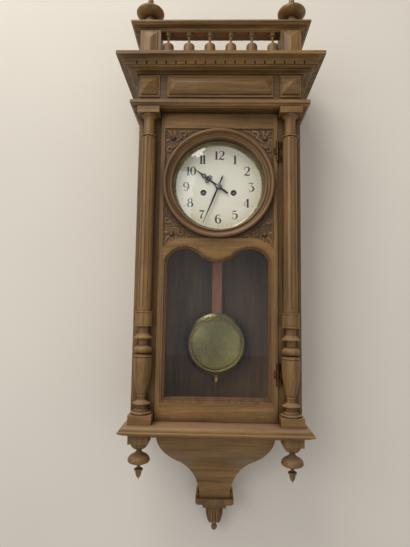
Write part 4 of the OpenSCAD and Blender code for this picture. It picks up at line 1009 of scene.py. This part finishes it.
    def console_drop(self, palette: Palette) -> None:
        """Makes the collar under the neck, its two ears and the turned drop."""
        top = box_mm("console")[0].z
        collar = Bench.mitred(self.neck, self.neck_d, [(-7, top - 22), (-7, top - 18)]
                              + arc((3, top - 18), (-9, 6.5), 0, 90, 6)
                              + [(4.4, top - 11.5), (4.4, top - 9.5)]
                              + arc((4.4, top - 6.5), (2.8, -3), 90, 0, 4) + [(7.2, top - 6.5), (7.2, top)])
        ear = [(0.8, 0), (6.8, 0), (6.8, 5), (5.6, 8.4), (3.6, 9.6), (1.8, 8.4), (0.8, 5.6)]
        ears = [Bench.slab([(way * (self.neck + a), top + up) for a, up in ear], 12, 44) for way in (-1, 1)]
        bell = Bench.turned([(0, -22), (16, -22), (16, -BELL_DOWN)]
                            + [(ConsoleCarving.bell(t / 90), -BELL_DOWN - BELL_H * math.sin(math.radians(t)))
                               for t in range(0, 91, 9)]
                            + [(4.4, -56), (4.4, -58)] + arc((0, -63.5), (6, 6.5), 60, -80, 10) + [(0, -70)])
        bell.location = (0, -BELL_OUT * MM, top * MM)
        self.finish([collar, bell] + ears, "console_drop", palette.carved)

    def raised(self, x: float, z: float, w: float, h: float, face: float) -> list[bpy.types.Object]:
        """Makes a block of the frieze: a flat frame that carries a block with four sloping sides.

        Args:
            x: Middle of the block.
            z: Middle of its height.
            w: Width of the frame.
            h: Height of the frame.
            face: Distance of the frieze's face from the wall.

        Returns:
            The frame and the block.
        """
        frame_t, block_t, slope_t = 2.0, 2.0, 12.0
        edges = [(x + a * w / 2, z + b * h / 2) for a, b in ((-1, -1), (1, -1), (1, 1), (-1, 1))]
        flat = Bench.slab(edges, face, face + frame_t)
        in_w, in_h = w - 2 * self.border, h - 3 * self.border
        bpy.ops.mesh.primitive_cube_add(size=1)
        block = bpy.context.object
        block.scale = Vector((in_w, block_t, in_h)) * MM
        bpy.ops.object.transform_apply(location=False, rotation=False, scale=True)
        bpy.ops.object.mode_set(mode="EDIT")
        bpy.ops.mesh.select_all(action="DESELECT")
        bpy.ops.object.mode_set(mode="OBJECT")
        for polygon in block.data.polygons:
            polygon.select = polygon.normal.y < -0.5
        bpy.ops.object.mode_set(mode="EDIT")
        bpy.ops.mesh.extrude_region_move(TRANSFORM_OT_translate={"value": (0, -slope_t * MM, 0)})
        tip = 0.3
        bpy.ops.transform.resize(value=((in_w - in_h + tip) / in_w, 1, tip / in_h),
                                 center_override=(0, -(block_t / 2 + slope_t) * MM, 0))
        bpy.ops.object.mode_set(mode="OBJECT")
        block.location = Vector((x, -(face + frame_t + block_t / 2), z)) * MM
        return [flat, block]

    def frieze_blocks(self, palette: Palette) -> None:
        """Makes the long raised block and the two pyramids of the frieze."""
        low, high = box_mm("frieze_board")
        middle_x = box_mm("finials")[1].x - self.ball
        block_half = box_mm("column_blocks")[1].x - middle_x
        foot, top, face = low.z + 9.5, high.z - 3, -low.y
        z, h = (foot + top) / 2, top - foot
        parts = self.raised(0, z, 2 * (middle_x - block_half - 12.4), h, face)
        for way in (-1, 1):
            parts += self.raised(way * (middle_x + 0.6), z, 2 * (block_half - 1.2), h, face)
        self.finish(parts, "frieze_blocks", palette.across)

    def dial_ring(self, palette: Palette) -> None:
        """Turns the ring around the dial: an inner bead, a wide hollow and a rim bead."""
        low, high = box_mm("dial_ring")
        back, rim = -high.y, high.x
        front, panel = -box_mm("door_stiles")[0].y, -box_mm("spandrel_panel")[0].y - BOSS_RISE
        inner = box_mm("dial_bezel")[1].x - 1
        ring = Bench.turned([(inner + 4.2, back), (inner + 4.2, back + 3), (inner, back + 3)]
                            + arc((inner + 1.8, front + 2.2), (1.8, 1.8), 180, 0)
                            + arc((inner + 4.2, front + 8), (rim - inner - 10.4, 5.6), -90, 0)
                            + arc((rim - 3, front + 8), (3, 3), 165, 0, 12)
                            + [(rim - 0.6, front + 4), (rim - 1.4, front + 1.2), (rim - 3.2, panel),
                               (rim - 5.1, panel), (rim - 5.1, back)], closed=True)
        ring.rotation_euler.x = math.radians(90)
        ring.location = (0, 0, (low.z + high.z) / 2 * MM)
        self.finish([ring], "dial_ring", palette.ring, "door")

    def bob_ring(self, palette: Palette) -> None:
        """Turns the fine bead on the face of the bob."""
        low, high = box_mm("bob")
        bead = Bench.turned(arc((51, 0), (1.0, 0.7), 0, 330, 11), closed=True)
        bead.rotation_euler.x = math.radians(90)
        bead.location = Vector(((low.x + high.x) / 2, low.y, high.z - (high.x - low.x) / 2)) * MM
        Bench.finish([bead], "bob_bead", "pendulum", Slot.BRASS, palette.brass)

    def build(self, palette: Palette) -> None:
        """Builds every piece."""
        for make in (self.finials, self.gallery_spindles, self.frieze_blocks, self.dial_ring, self.ledge,
                     self.console, self.console_drop, self.pendants, self.bob_ring):
            make(palette)


Stroke = tuple[tuple[float, float, float], ...]


def oval(middle: tuple[float, float], reach: tuple[float, float], thick: float, thin: float) -> Stroke:
    """A closed oval stroke, thick at its sides and thin at its top and foot.

    Args:
        middle: Centre of the oval.
        reach: Half of its width and height.
        thick: Half width of the stroke at the sides.
        thin: Half width of the stroke at the top and foot.

    Returns:
        The stroke's points, each with its half width.
    """
    turns = [math.radians(a) for a in range(90, 451, 30)]
    return tuple((middle[0] + reach[0] * math.cos(t), middle[1] + reach[1] * math.sin(t),
                  thin + (thick - thin) * abs(math.cos(t)) ** 1.5) for t in turns)


class Figure(Enum):
    """Figures of the dial, as strokes of (across, up, half width) in units of the figure's height."""

    ZERO = (oval((0, 0.5), (0.2, 0.48), 0.085, 0.02),)
    ONE = (((0, 0.03, 0.085), (0, 0.5, 0.085), (0, 0.95, 0.085)),
           ((-0.16, 0.015, 0.018), (0, 0.02, 0.022), (0.16, 0.015, 0.018)),
           ((-0.15, 0.93, 0.015), (-0.08, 0.955, 0.022), (0.02, 0.965, 0.03)))
    TWO = (((-0.2, 0.74, 0.07), (-0.19, 0.78, 0.06)),
           ((-0.23, 0.76, 0.02), (-0.13, 0.94, 0.024), (0.04, 0.98, 0.03), (0.2, 0.85, 0.07),
            (0.2, 0.66, 0.08), (0.06, 0.4, 0.04), (-0.14, 0.18, 0.025), (-0.25, 0.03, 0.02)),
           ((-0.25, 0.03, 0.03), (-0.1, 0.1, 0.055), (0.06, 0.05, 0.07), (0.2, 0.06, 0.045),
            (0.27, 0.22, 0.012)))
    THREE = (((-0.2, 0.95, 0.035), (0, 0.94, 0.035), (0.21, 0.96, 0.03)),
             ((-0.2, 0.94, 0.02), (-0.21, 0.82, 0.012)),
             ((0.2, 0.95, 0.016), (0.09, 0.78, 0.015), (-0.03, 0.6, 0.016)),
             ((-0.03, 0.6, 0.02), (0.12, 0.55, 0.05), (0.22, 0.33, 0.085), (0.12, 0.07, 0.05),
              (-0.05, 0.015, 0.02), (-0.21, 0.1, 0.02)),
             ((-0.2, 0.17, 0.07), (-0.18, 0.2, 0.06)))
    FOUR = (((0.1, 0.02, 0.075), (0.1, 0.5, 0.08), (0.1, 0.96, 0.08)),
            ((0.08, 0.96, 0.018), (-0.1, 0.62, 0.016), (-0.28, 0.3, 0.018)),
            ((-0.28, 0.27, 0.02), (0, 0.27, 0.02), (0.28, 0.27, 0.02)),
            ((-0.05, 0.015, 0.018), (0.1, 0.02, 0.022), (0.25, 0.015, 0.018)))
    FIVE = (((-0.17, 0.95, 0.018), (-0.17, 0.73, 0.016), (-0.17, 0.52, 0.018)),
            ((-0.17, 0.93, 0.03), (0.0, 0.89, 0.055), (0.15, 0.94, 0.035), (0.2, 1.0, 0.012)),
            ((-0.17, 0.53, 0.016), (0, 0.62, 0.03), (0.19, 0.5, 0.075), (0.21, 0.26, 0.085),
             (0.08, 0.04, 0.04), (-0.08, 0.015, 0.02), (-0.21, 0.1, 0.02)),
            ((-0.2, 0.17, 0.07), (-0.18, 0.2, 0.06)))
    SIX = (((0.19, 0.84, 0.02), (0.09, 0.97, 0.022), (-0.08, 0.92, 0.04), (-0.2, 0.68, 0.075),
            (-0.22, 0.4, 0.085), (-0.15, 0.12, 0.06), (0, 0.015, 0.022), (0.16, 0.11, 0.06),
            (0.21, 0.3, 0.08), (0.14, 0.51, 0.05),
            (0, 0.59, 0.02), (-0.14, 0.5, 0.02), (-0.21, 0.38, 0.02)),
           ((0.17, 0.83, 0.065), (0.16, 0.8, 0.06)))
    SEVEN = (((-0.23, 0.98, 0.012), (-0.21, 0.87, 0.03), (-0.08, 0.93, 0.07), (0.08, 0.88, 0.07),
              (0.22, 0.96, 0.02)),
             ((0.22, 0.95, 0.018), (0.05, 0.62, 0.03), (-0.06, 0.3, 0.06), (-0.05, 0.04, 0.085)))
    EIGHT = (oval((0, 0.745), (0.16, 0.235), 0.065, 0.022), oval((0, 0.27), (0.21, 0.25), 0.08, 0.022))
    NINE = tuple(tuple((-x, 1 - y, w) for x, y, w in stroke) for stroke in SIX)


@dataclass
class DialWork:
    """What is printed on the dial, and the boss that holds the hands.

    Attributes:
        figure_radius: Distance of the figures' middles from the centre.
        figure_height: Height of a figure.
        dot_radius: Distance of the minute dots from the centre.
        digit_pitch: Distance between the middles of two digits, in heights.
        spread: How much broader than its strokes' table a figure is drawn.
        weight: How much bolder than its strokes' table a figure is drawn.
        eleven: Share of that pitch at which the two narrow digits of 11 stand.
        print_rise: Thickness of the fired print.
    """

    figure_radius: float = 61.6 * MM
    figure_height: float = 17 * MM
    dot_radius: float = 74 * MM
    digit_pitch: float = 0.55
    spread: float = 1.18
    weight: float = 1.3
    eleven: float = 0.62
    print_rise: float = 0.12 * MM

    def __post_init__(self) -> None:
        """Finds the dial's centre and face."""
        low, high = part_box("dial")
        self.centre = Vector(((low[0] + high[0]) / 2, low[1], (low[2] + high[2]) / 2))

    def digit(self, figure: Figure, middle: Vector) -> list[bpy.types.Object]:
        """Draws one digit as flattened tapering strokes.

        Args:
            figure: The digit.
            middle: Where the middle of the digit goes.

        Returns:
            The strokes.
        """
        size = self.figure_height
        strokes = []
        for stroke in figure.value:
            drawn = Bench.tube([Vector((x * size * self.spread, 0, (y - 0.5) * size)) for x, y, _ in stroke],
                               [w * size * self.weight for _, _, w in stroke], sides=2, smooth=5)
            drawn.scale = (1, self.print_rise / (0.085 * self.weight * size), 1)
            drawn.location = middle
            strokes.append(drawn)
        return strokes

    def build(self, palette: Palette) -> None:
        """Builds the twelve figures, the minute dots and the boss of the hands."""
        order = list(Figure)
        for hour in range(1, 13):
            turn = math.radians(30 * hour)
            middle = self.centre + self.figure_radius * Vector((math.sin(turn), 0, math.cos(turn)))
            digits = [order[int(d)] for d in str(hour)]
            first = -self.digit_pitch * (len(digits) - 1) / 2
            if hour == 11:
                first *= self.eleven
            step = -2 * first
            strokes = [s for i, d in enumerate(digits)
                       for s in self.digit(d, middle + Vector(((first + i * step) * self.figure_height,
                                                               0, 0)))]
            Bench.finish(strokes, f"figure_{hour}", "case", Slot.DIAL, palette.ink)
        self.dots(palette)
        self.boss(palette)

    def dots(self, palette: Palette) -> None:
        """Builds the ring of minute dots, larger at the hours."""
        bpy.ops.mesh.primitive_cylinder_add(vertices=12, radius=0.55 * MM, depth=self.print_rise * 2,
                                            rotation=(math.pi / 2, 0, 0))
        model = bpy.context.object
        Bench.bevel(0.03 * MM, 1)
        stand = model.matrix_world.copy()
        places = []
        for minute in range(60):
            turn = math.radians(6 * minute)
            where = self.centre + self.dot_radius * Vector((math.sin(turn), 0, math.cos(turn)))
            size = 1.5 if minute % 5 == 0 else 1.0
            places.append(Matrix.Translation(where) @ Matrix.Diagonal((size, 1, size, 1)) @ stand)
        Bench.finish(Bench.copies(model, places), "minute_dots", "case", Slot.DIAL, palette.ink)

    def boss(self, palette: Palette) -> None:
        """Turns the domed washer and the taper pin that hold the minute hand."""
        low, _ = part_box("minute_hand")
        bpy.ops.mesh.primitive_cylinder_add(vertices=32, radius=4.2 * MM, depth=1.0 * MM,
                                            location=(self.centre.x, low[1] - 0.5 * MM, self.centre.z),
                                            rotation=(math.pi / 2, 0, 0))
        washer = bpy.context.object
        Bench.bevel(0.4 * MM, 3)
        pin = Bench.tube([Vector((-5.2 * MM, 0, 0)), Vector((0, 0, 0)), Vector((4.4 * MM, 0, 0))],
                         [0.35 * MM, 0.5 * MM, 0.62 * MM], sides=2)
        pin.location = (self.centre.x, low[1] - 1.6 * MM, self.centre.z)
        pin.rotation_euler = (0, math.radians(35), 0)
        Bench.finish([washer, pin], "hand_washer", "centre_arbor", Slot.STEEL, palette.steel)


@dataclass
class Carving:
    """Scrolls, leaves and beads carved around the dial ring and above the lower glass.

    Attributes:
        bead_radius: Radius of a border bead.
        bead_pitch: Distance between two beads.
        scroll_radius: Radius of a scroll's stem where it is thickest.
        relief: Share of its width that a carved stem stands proud.
    """

    bead_radius: float = 1.6 * MM
    bead_pitch: float = 4.0 * MM
    scroll_radius: float = 2.3 * MM
    relief: float = 0.8

    def __post_init__(self) -> None:
        """Takes the panel's place, the ring's radius and the stiles' edges from the frame."""
        low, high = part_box("spandrel_panel")
        self.face = low[1] + BOSS_RISE * MM
        self.side = high[0]
        self.top = high[2]
        ring_low, ring_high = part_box("dial_ring")
        self.ring = (ring_high[0] - ring_low[0]) / 2
        self.centre_z = (ring_low[2] + ring_high[2]) / 2
        self.foot = low[2]

    def bead(self) -> bpy.types.Object:
        """Models one flattened bead, cut off at its back."""
        bpy.ops.mesh.primitive_uv_sphere_add(segments=10, ring_count=6, radius=self.bead_radius)
        bead = bpy.context.object
        bpy.ops.object.mode_set(mode="EDIT")
        bpy.ops.mesh.select_all(action="SELECT")
        bpy.ops.mesh.bisect(plane_co=(0, 0.2 * self.bead_radius, 0), plane_no=(0, 1, 0), use_fill=True,
                            clear_outer=True)
        bpy.ops.object.mode_set(mode="OBJECT")
        return bead

    def beads(self, places: Iterable[Vector], name: str, palette: Palette) -> None:
        """Sets a row of beads on the panel's face."""
        Bench.finish(Bench.copies(self.bead(), [Matrix.Translation(p) for p in places]), name, "door",
                     Slot.WALNUT, palette.carved)

    def stem(self, path: Sequence[tuple[float, float]], thickest: float) -> bpy.types.Object:
        """Carves a stem that swells and runs out, through points given in millimetres.

        Args:
            path: Points as (distance from the middle, height above the dial centre).
            thickest: Radius at the thickest place.

        Returns:
            The stem.
        """
        points = [Vector((x * MM, 0, self.centre_z + z * MM)) for x, z in path]
        last = len(points) - 1
        radii = [thickest * (0.28 + 0.72 * math.sin(math.pi * min(1.0, (i + 0.6) / (last + 0.6)) ** 0.8))
                 for i in range(len(points))]
        made = Bench.tube(points, radii, sides=2, smooth=4)
        made.scale = (1, self.relief, 1)
        made.location = (0, self.face, 0)
        return made

    def volute(self, middle: tuple[float, float], start: float, reach: float, turns: float, way: int,
               lead: Sequence[tuple[float, float]] = ()) -> bpy.types.Object:
        """Carves a stem that runs in from its lead and curls up into a volute.

        Args:
            middle: Eye of the volute, in millimetres.
            start: Angle in degrees at which the curl begins.
            reach: Radius of the curl where it begins.
            turns: Number of turns.
            way: 1 to curl anticlockwise, -1 clockwise.
            lead: Points before the curl.

        Returns:
            The volute.
        """
        steps = int(turns * 10)
        curl = []
        for i in range(steps + 1):
            t = i / steps
            angle = math.radians(start + way * 360 * turns * t)
            size = reach * (1 - 0.82 * t)
            curl.append((middle[0] + size * math.cos(angle), middle[1] + size * math.sin(angle)))
        return self.stem(list(lead) + curl, self.scroll_radius)

    def leaf(self, root: tuple[float, float], tip: tuple[float, float], width: float,
             bow: float = 0.15) -> bpy.types.Object:
        """Carves a pointed leaf from its root to its tip, a little bowed."""
        dx, dz = tip[0] - root[0], tip[1] - root[1]
        path = []
        for t in (0.0, 0.2, 0.45, 0.7, 0.9, 1.0):
            side = bow * math.sin(math.pi * t)
            path.append((root[0] + dx * t - dz * side, root[1] + dz * t + dx * side))
        points = [Vector((x * MM, 0, self.centre_z + z * MM)) for x, z in path]
        swell = (0.25, 0.85, 1.0, 0.75, 0.35, 0.08)
        made = Bench.tube(points, [width * MM * s for s in swell], sides=2, smooth=3)
        made.scale = (1, self.relief * 0.8, 1)
        made.location = (0, self.face, 0)
        return made

    @staticmethod
    def mirrored(parts: Sequence[bpy.types.Object]) -> list[bpy.types.Object]:
        """Copies parts to the other side of the door."""
        made = []
        for part in parts:
            twin = part.copy()
            twin.data = part.data.copy()
            bpy.context.scene.collection.objects.link(twin)
            twin.scale.x = -1
            made.append(twin)
        return made

    def upper(self) -> list[bpy.types.Object]:
        """Carves the upper right corner."""
        return [
            self.volute((66, 94.5), -60, 8, 1.1, 1, [(84, 78), (78, 83), (73, 86)]),
            self.volute((91.5, 64), 150, 6.5, 1.1, -1, [(78, 77), (80, 72), (84, 69.5)]),
            self.leaf((88, 90), (98, 102), 2.6),
            self.leaf((82, 91), (80, 103), 2.2, -0.2),
            self.leaf((91, 84), (99.5, 79), 2.0, 0.2),
            self.leaf((61, 99), (46, 103), 1.8, 0.12),
            self.leaf((95, 56), (99, 40), 1.7, -0.12),
            self.leaf((72, 101), (60, 103.5), 1.3, 0.1),
        ]

    def lower(self) -> list[bpy.types.Object]:
        """Carves the lower right corner."""
        return [
            self.volute((67, -92), 60, 7, 1.1, -1, [(84, -84), (79, -84), (74, -84)]),
            self.volute((93, -69), 200, 6, 1.1, 1, [(80, -85), (81, -78), (85, -74)]),
            self.leaf((88, -99), (98, -112), 2.4),
            self.leaf((82, -99), (83, -107), 1.8, 0.2),
            self.leaf((91, -92), (99.5, -88), 2.0, -0.2),
            self.leaf((58, -96), (47, -99), 1.5, -0.12),
            self.leaf((96, -60), (99.5, -42), 1.6, 0.12),
        ]

    def band_leaves(self) -> list[bpy.types.Object]:
        """Carves the row of small leaves along the band over the lower glass."""
        middle_x, middle_z, radius = 58.9, -159.5, 60.4
        leaves = []
        for i in range(8):
            turn = math.radians(44 + 6.4 * i)
            ahead = math.radians(44 + 6.4 * (i + 0.95))
            leaves.append(self.leaf((middle_x + radius * math.cos(turn), middle_z + radius * math.sin(turn)),
                                    (middle_x + (radius + 0.8) * math.cos(ahead),
                                     middle_z + (radius + 0.8) * math.sin(ahead)),
                                    1.6, 0.3))
        return leaves

    def build(self, palette: Palette) -> None:
        """Builds the four corners, their borders and the leaves over the band."""
        for name, parts in (("upper", self.upper()), ("lower", self.lower()), ("band", self.band_leaves())):
            twins = self.mirrored(parts)
            Bench.finish(parts, f"{name}_carving_right", "door", Slot.WALNUT, palette.carved, 60)
            Bench.finish(twins, f"{name}_carving_left", "door", Slot.WALNUT, palette.carved, 60)
        inset = 1.9 * MM
        for way, side in ((1, "right"), (-1, "left")):
            edge = way * (self.side - inset)
            runs = [(34 * MM, self.top - self.centre_z - inset), (-116 * MM, -34 * MM)]
            rows = []
            for low, high in runs:
                count = int((high - low) / self.bead_pitch)
                rows += [Vector((edge, self.face, self.centre_z + low + i * self.bead_pitch))
                         for i in range(count + 1)]
            around = self.ring + 2.4 * MM
            turn = self.bead_pitch / around
            for start, end in ((22, 66), (-66, -22)):
                steps = int(math.radians(end - start) / turn)
                for i in range(steps + 1):
                    angle = math.radians(start) + i * turn
                    rows.append(Vector((way * around * math.cos(angle), self.face,
                                        self.centre_z + around * math.sin(angle))))
            self.beads(rows, f"bead_border_{side}", palette)


@dataclass
class ConsoleCarving:
    """Leaves carved around the drop under the console.

    Attributes:
        leaves: Angles of the leaves around the drop, from the front, in degrees.
        length: Length of a leaf.
    """

    leaves: tuple[int, ...] = (-120, -60, 0, 60, 120)
    length: float = BELL_H * MM

    @staticmethod
    def bell(share: float) -> float:
        """Radius of the drop's bell in millimetres, at a share of its quarter turn."""
        return 16 - 9.5 * (1 - math.cos(math.radians(90 * share)))

    def build(self, palette: Palette) -> None:
        """Builds the leaves against the bell of the drop."""
        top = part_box("console")[0][2] - BELL_DOWN * MM
        axis = Vector((0, -BELL_OUT * MM, 0))
        parts = []
        for angle in self.leaves:
            for shift, width, reach in ((0, 2.2, 1.0), (-17, 1.4, 0.72), (17, 1.4, 0.72)):
                turn = math.radians(angle + shift)
                out = Vector((math.sin(turn), -math.cos(turn), 0))
                path, radii = [], []
                for i in range(8):
                    t = i / 7 * reach
                    z = top - self.length * math.sin(math.radians(90 * t))
                    path.append(axis + out * (self.bell(t) + 0.3) * MM + Vector((0, 0, z)))
                    radii.append(width * MM * (0.35 + 0.65 * math.sin(math.pi * (i + 0.8) / 8.2)))
                parts.append(Bench.tube(path, radii, sides=2, smooth=3))
        Bench.finish(parts, "drop_leaves", "case", Slot.WALNUT, palette.carved, 60)


@dataclass
class Fasteners:
    """Slotted screws of the hinges and of the hanging plate.

    Attributes:
        head: Radius of a screw head.
        rise: Height of a head over its leaf.
    """

    head: float = 1.7 * MM
    rise: float = 0.5 * MM

    def screw(self) -> bpy.types.Object:
        """Models one screw head with a slot, facing the room."""
        bpy.ops.mesh.primitive_cylinder_add(vertices=24, radius=self.head, depth=self.rise * 2,
                                            rotation=(math.pi / 2, 0, 0))
        head = bpy.context.object
        bpy.ops.object.transform_apply(location=False, rotation=True, scale=False)
        Bench.bevel(self.rise * 0.5, 2)
        bpy.ops.mesh.primitive_cube_add(size=1)
        blade = bpy.context.object
        blade.scale = (self.head * 3, self.rise, self.head * 0.24)
        blade.location = (0, -self.rise, 0)
        Bench.cut(head, blade, "DIFFERENCE")
        return head

    def set(self, places: Sequence[tuple[Vector, float]], name: str, body: str, palette: Palette,
            facing_wall: bool = False) -> None:
        """Drives screws at the places, each with its slot turned by an angle in degrees."""
        flip = Matrix.Rotation(math.pi, 4, "Z") if facing_wall else Matrix.Identity(4)
        mats = [Matrix.Translation(p) @ flip @ Matrix.Rotation(math.radians(a), 4, "Y") for p, a in places]
        Bench.finish(Bench.copies(self.screw(), mats), name, body, Slot.STEEL, palette.aged)

    def build(self, palette: Palette) -> None:
        """Builds the screws of both hinges and of the hanging plate."""
        for body, leaves, board, side, inset, sunk, reach, end in (
                ("case", "hinge_leaves", "case_frame", 1, -3.2, 1.2, 13, 19),
                ("door", "door_hinge_leaves", "door_stiles", 0, 3.2, 1.0, 4, 6.33)):
            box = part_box(leaves)
            x = box[side][0] + inset * MM
            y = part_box(board)[0][1] - sunk * MM
            middles = (box[0][2] + end * MM, box[1][2] - end * MM)
            places = [(Vector((x, y, z + way * reach * MM)), 30 + 70 * way * (k + 1))
                      for k, z in enumerate(middles) for way in (-1, 1)]
            self.set(places, f"{body}_hinge_screws", body, palette)
        plate_low, plate_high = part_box("hanging_plate")
        middle = (plate_low[2] + plate_high[2]) / 2
        places = [(Vector((way * 16 * MM, plate_high[1] - 0.4 * MM, middle)), 20 * way) for way in (-1, 1)]
        self.set(places, "hanging_plate_screws", "case", palette, facing_wall=True)


@dataclass
class Studio:
    """The pale wall and floor, the soft lamps and the camera.

    Attributes:
        eye: Place of the camera.
        yaw: Turn of the view to the left, in degrees.
        pitch: Tilt of the view upwards, in degrees.
        roll: Roll of the camera, in degrees.
        lens: Focal length, in millimetres on a sensor whose long side is 36.
        wall_gap: Distance from the back of the case to the wall.
        floor_drop: Distance from the foot of the clock to the floor.
    """

    eye: Vector = Vector((-4.8 * MM, -874.5 * MM, -407.4 * MM))
    yaw: float = 1.38
    pitch: float = 5.41
    roll: float = 0.88
    lens: float = 27.08
    wall_gap: float = 1.0 * MM
    floor_drop: float = 0.5

    def backdrop(self, name: str, colour: Colour) -> bpy.types.Material:
        """Makes a matt backdrop that takes shadows but throws none and doesn't show from behind."""
        material, graph, shader = new_material(name)
        place = graph.place()
        cloud = graph.between(graph.noise(place, 1.6, 3.0), 0.3, 0.7)
        darker = tuple(c * 0.93 for c in colour[:3]) + (1.0,)
        graph.feed(shader, {"Base Color": graph.mix(cloud, colour, darker), "Roughness": 0.9,
                            "Specular IOR Level": 0.1})
        path = graph.add("ShaderNodeLightPath")
        back = graph.add("ShaderNodeNewGeometry").outputs["Backfacing"]
        hidden = graph.maths("MAXIMUM", path.outputs["Is Shadow Ray"], path.outputs["Is Diffuse Ray"])
        hidden = graph.maths("MAXIMUM", hidden, back)
        clear = graph.add("ShaderNodeBsdfTransparent")
        mixed = graph.add("ShaderNodeMixShader", {0: hidden, 1: shader.outputs[0], 2: clear.outputs[0]})
        graph.feed(material.node_tree.nodes["Material Output"], {"Surface": mixed.outputs[0]})
        return material

    def plane(self, name: str, size: float, place: tuple[float, float, float], turn: float,
              material: bpy.types.Material) -> None:
        """Adds one plane of the backdrop, turned about X by an angle in degrees."""
        bpy.ops.mesh.primitive_plane_add(size=size, location=place, rotation=(math.radians(turn), 0, 0))
        made = bpy.context.object
        made.name = name
        made.data.materials.append(material)

    def lamp(self, name: str, place: tuple[float, float, float], size: float, power: float,
             target: Vector, colour: tuple[float, float, float] = (1, 1, 1)) -> None:
        """Adds one square soft lamp that faces the target."""
        bpy.ops.object.light_add(type="AREA", location=place)
        lamp = bpy.context.object
        lamp.name = name
        lamp.data.size = size
        lamp.data.energy = power
        lamp.data.color = colour
        lamp.rotation_euler = (target - Vector(place)).to_track_quat("-Z", "Y").to_euler()

    def camera(self) -> None:
        """Places the camera at the photograph's viewing angle."""
        yaw, pitch, roll = math.radians(-self.yaw), math.radians(self.pitch), math.radians(self.roll)
        ahead = Vector((math.sin(yaw) * math.cos(pitch), math.cos(yaw) * math.cos(pitch), math.sin(pitch)))
        right = Vector((math.cos(yaw), -math.sin(yaw), 0))
        up = right.cross(ahead)
        level_right = right * math.cos(roll) + up * math.sin(roll)
        level_up = up * math.cos(roll) - right * math.sin(roll)
        bpy.ops.object.camera_add(location=self.eye)
        camera = bpy.context.object
        turn = Matrix((level_right, level_up, -ahead)).transposed()
        camera.matrix_world = Matrix.Translation(self.eye) @ turn.to_4x4()
        camera.data.sensor_width = 36
        camera.data.lens = self.lens
        camera.data.clip_start = 0.01
        bpy.context.scene.camera = camera

    def build(self) -> None:
        """Builds the backdrop, the lamps, the world and the camera."""
        low, high = cad_bounds
        middle = Vector(((low[0] + high[0]) / 2, low[1], (low[2] + high[2]) / 2))
        wall = self.backdrop("pale_wall", tone(230, 222, 208))
        floor = self.backdrop("pale_floor", tone(222, 216, 204))
        self.plane("wall", 9.0, (0, self.wall_gap, middle.z), 90, wall)
        self.plane("floor", 9.0, (0, -4.0, low[2] - self.floor_drop), 0, floor)
        self.lamp("ceiling_lamp", (-0.7, -1.15, 1.6), 1.2, 28, middle, (1.0, 0.97, 0.92))
        self.lamp("room_lamp", (-1.5, -2.1, 0.25), 1.6, 17, middle, (0.96, 0.98, 1.0))
        self.lamp("low_lamp", (1.2, -2.0, -1.0), 1.8, 6, middle, (1.0, 0.96, 0.9))
        world = bpy.data.worlds.new("studio")
        bpy.context.scene.world = world
        world.use_nodes = True
        world.node_tree.nodes["Background"].inputs["Color"].default_value = (0.95, 0.96, 1.0, 1.0)
        world.node_tree.nodes["Background"].inputs["Strength"].default_value = 0.39
        self.camera()
        bpy.context.scene.view_settings.view_transform = "Standard"


def main() -> None:
    """Builds the studio, dresses the frame and adds the pieces that it leaves out."""
    logging.basicConfig(level=logging.INFO, format="%(message)s")
    Studio().build()
    dial_work = DialWork()
    palette = Palette(dial_work.centre)
    Dressing().dress(palette)
    dial_work.build(palette)
    Joinery().build(palette)
    Carving().build(palette)
    ConsoleCarving().build(palette)
    Fasteners().build(palette)


if __name__ == "__main__":
    main()
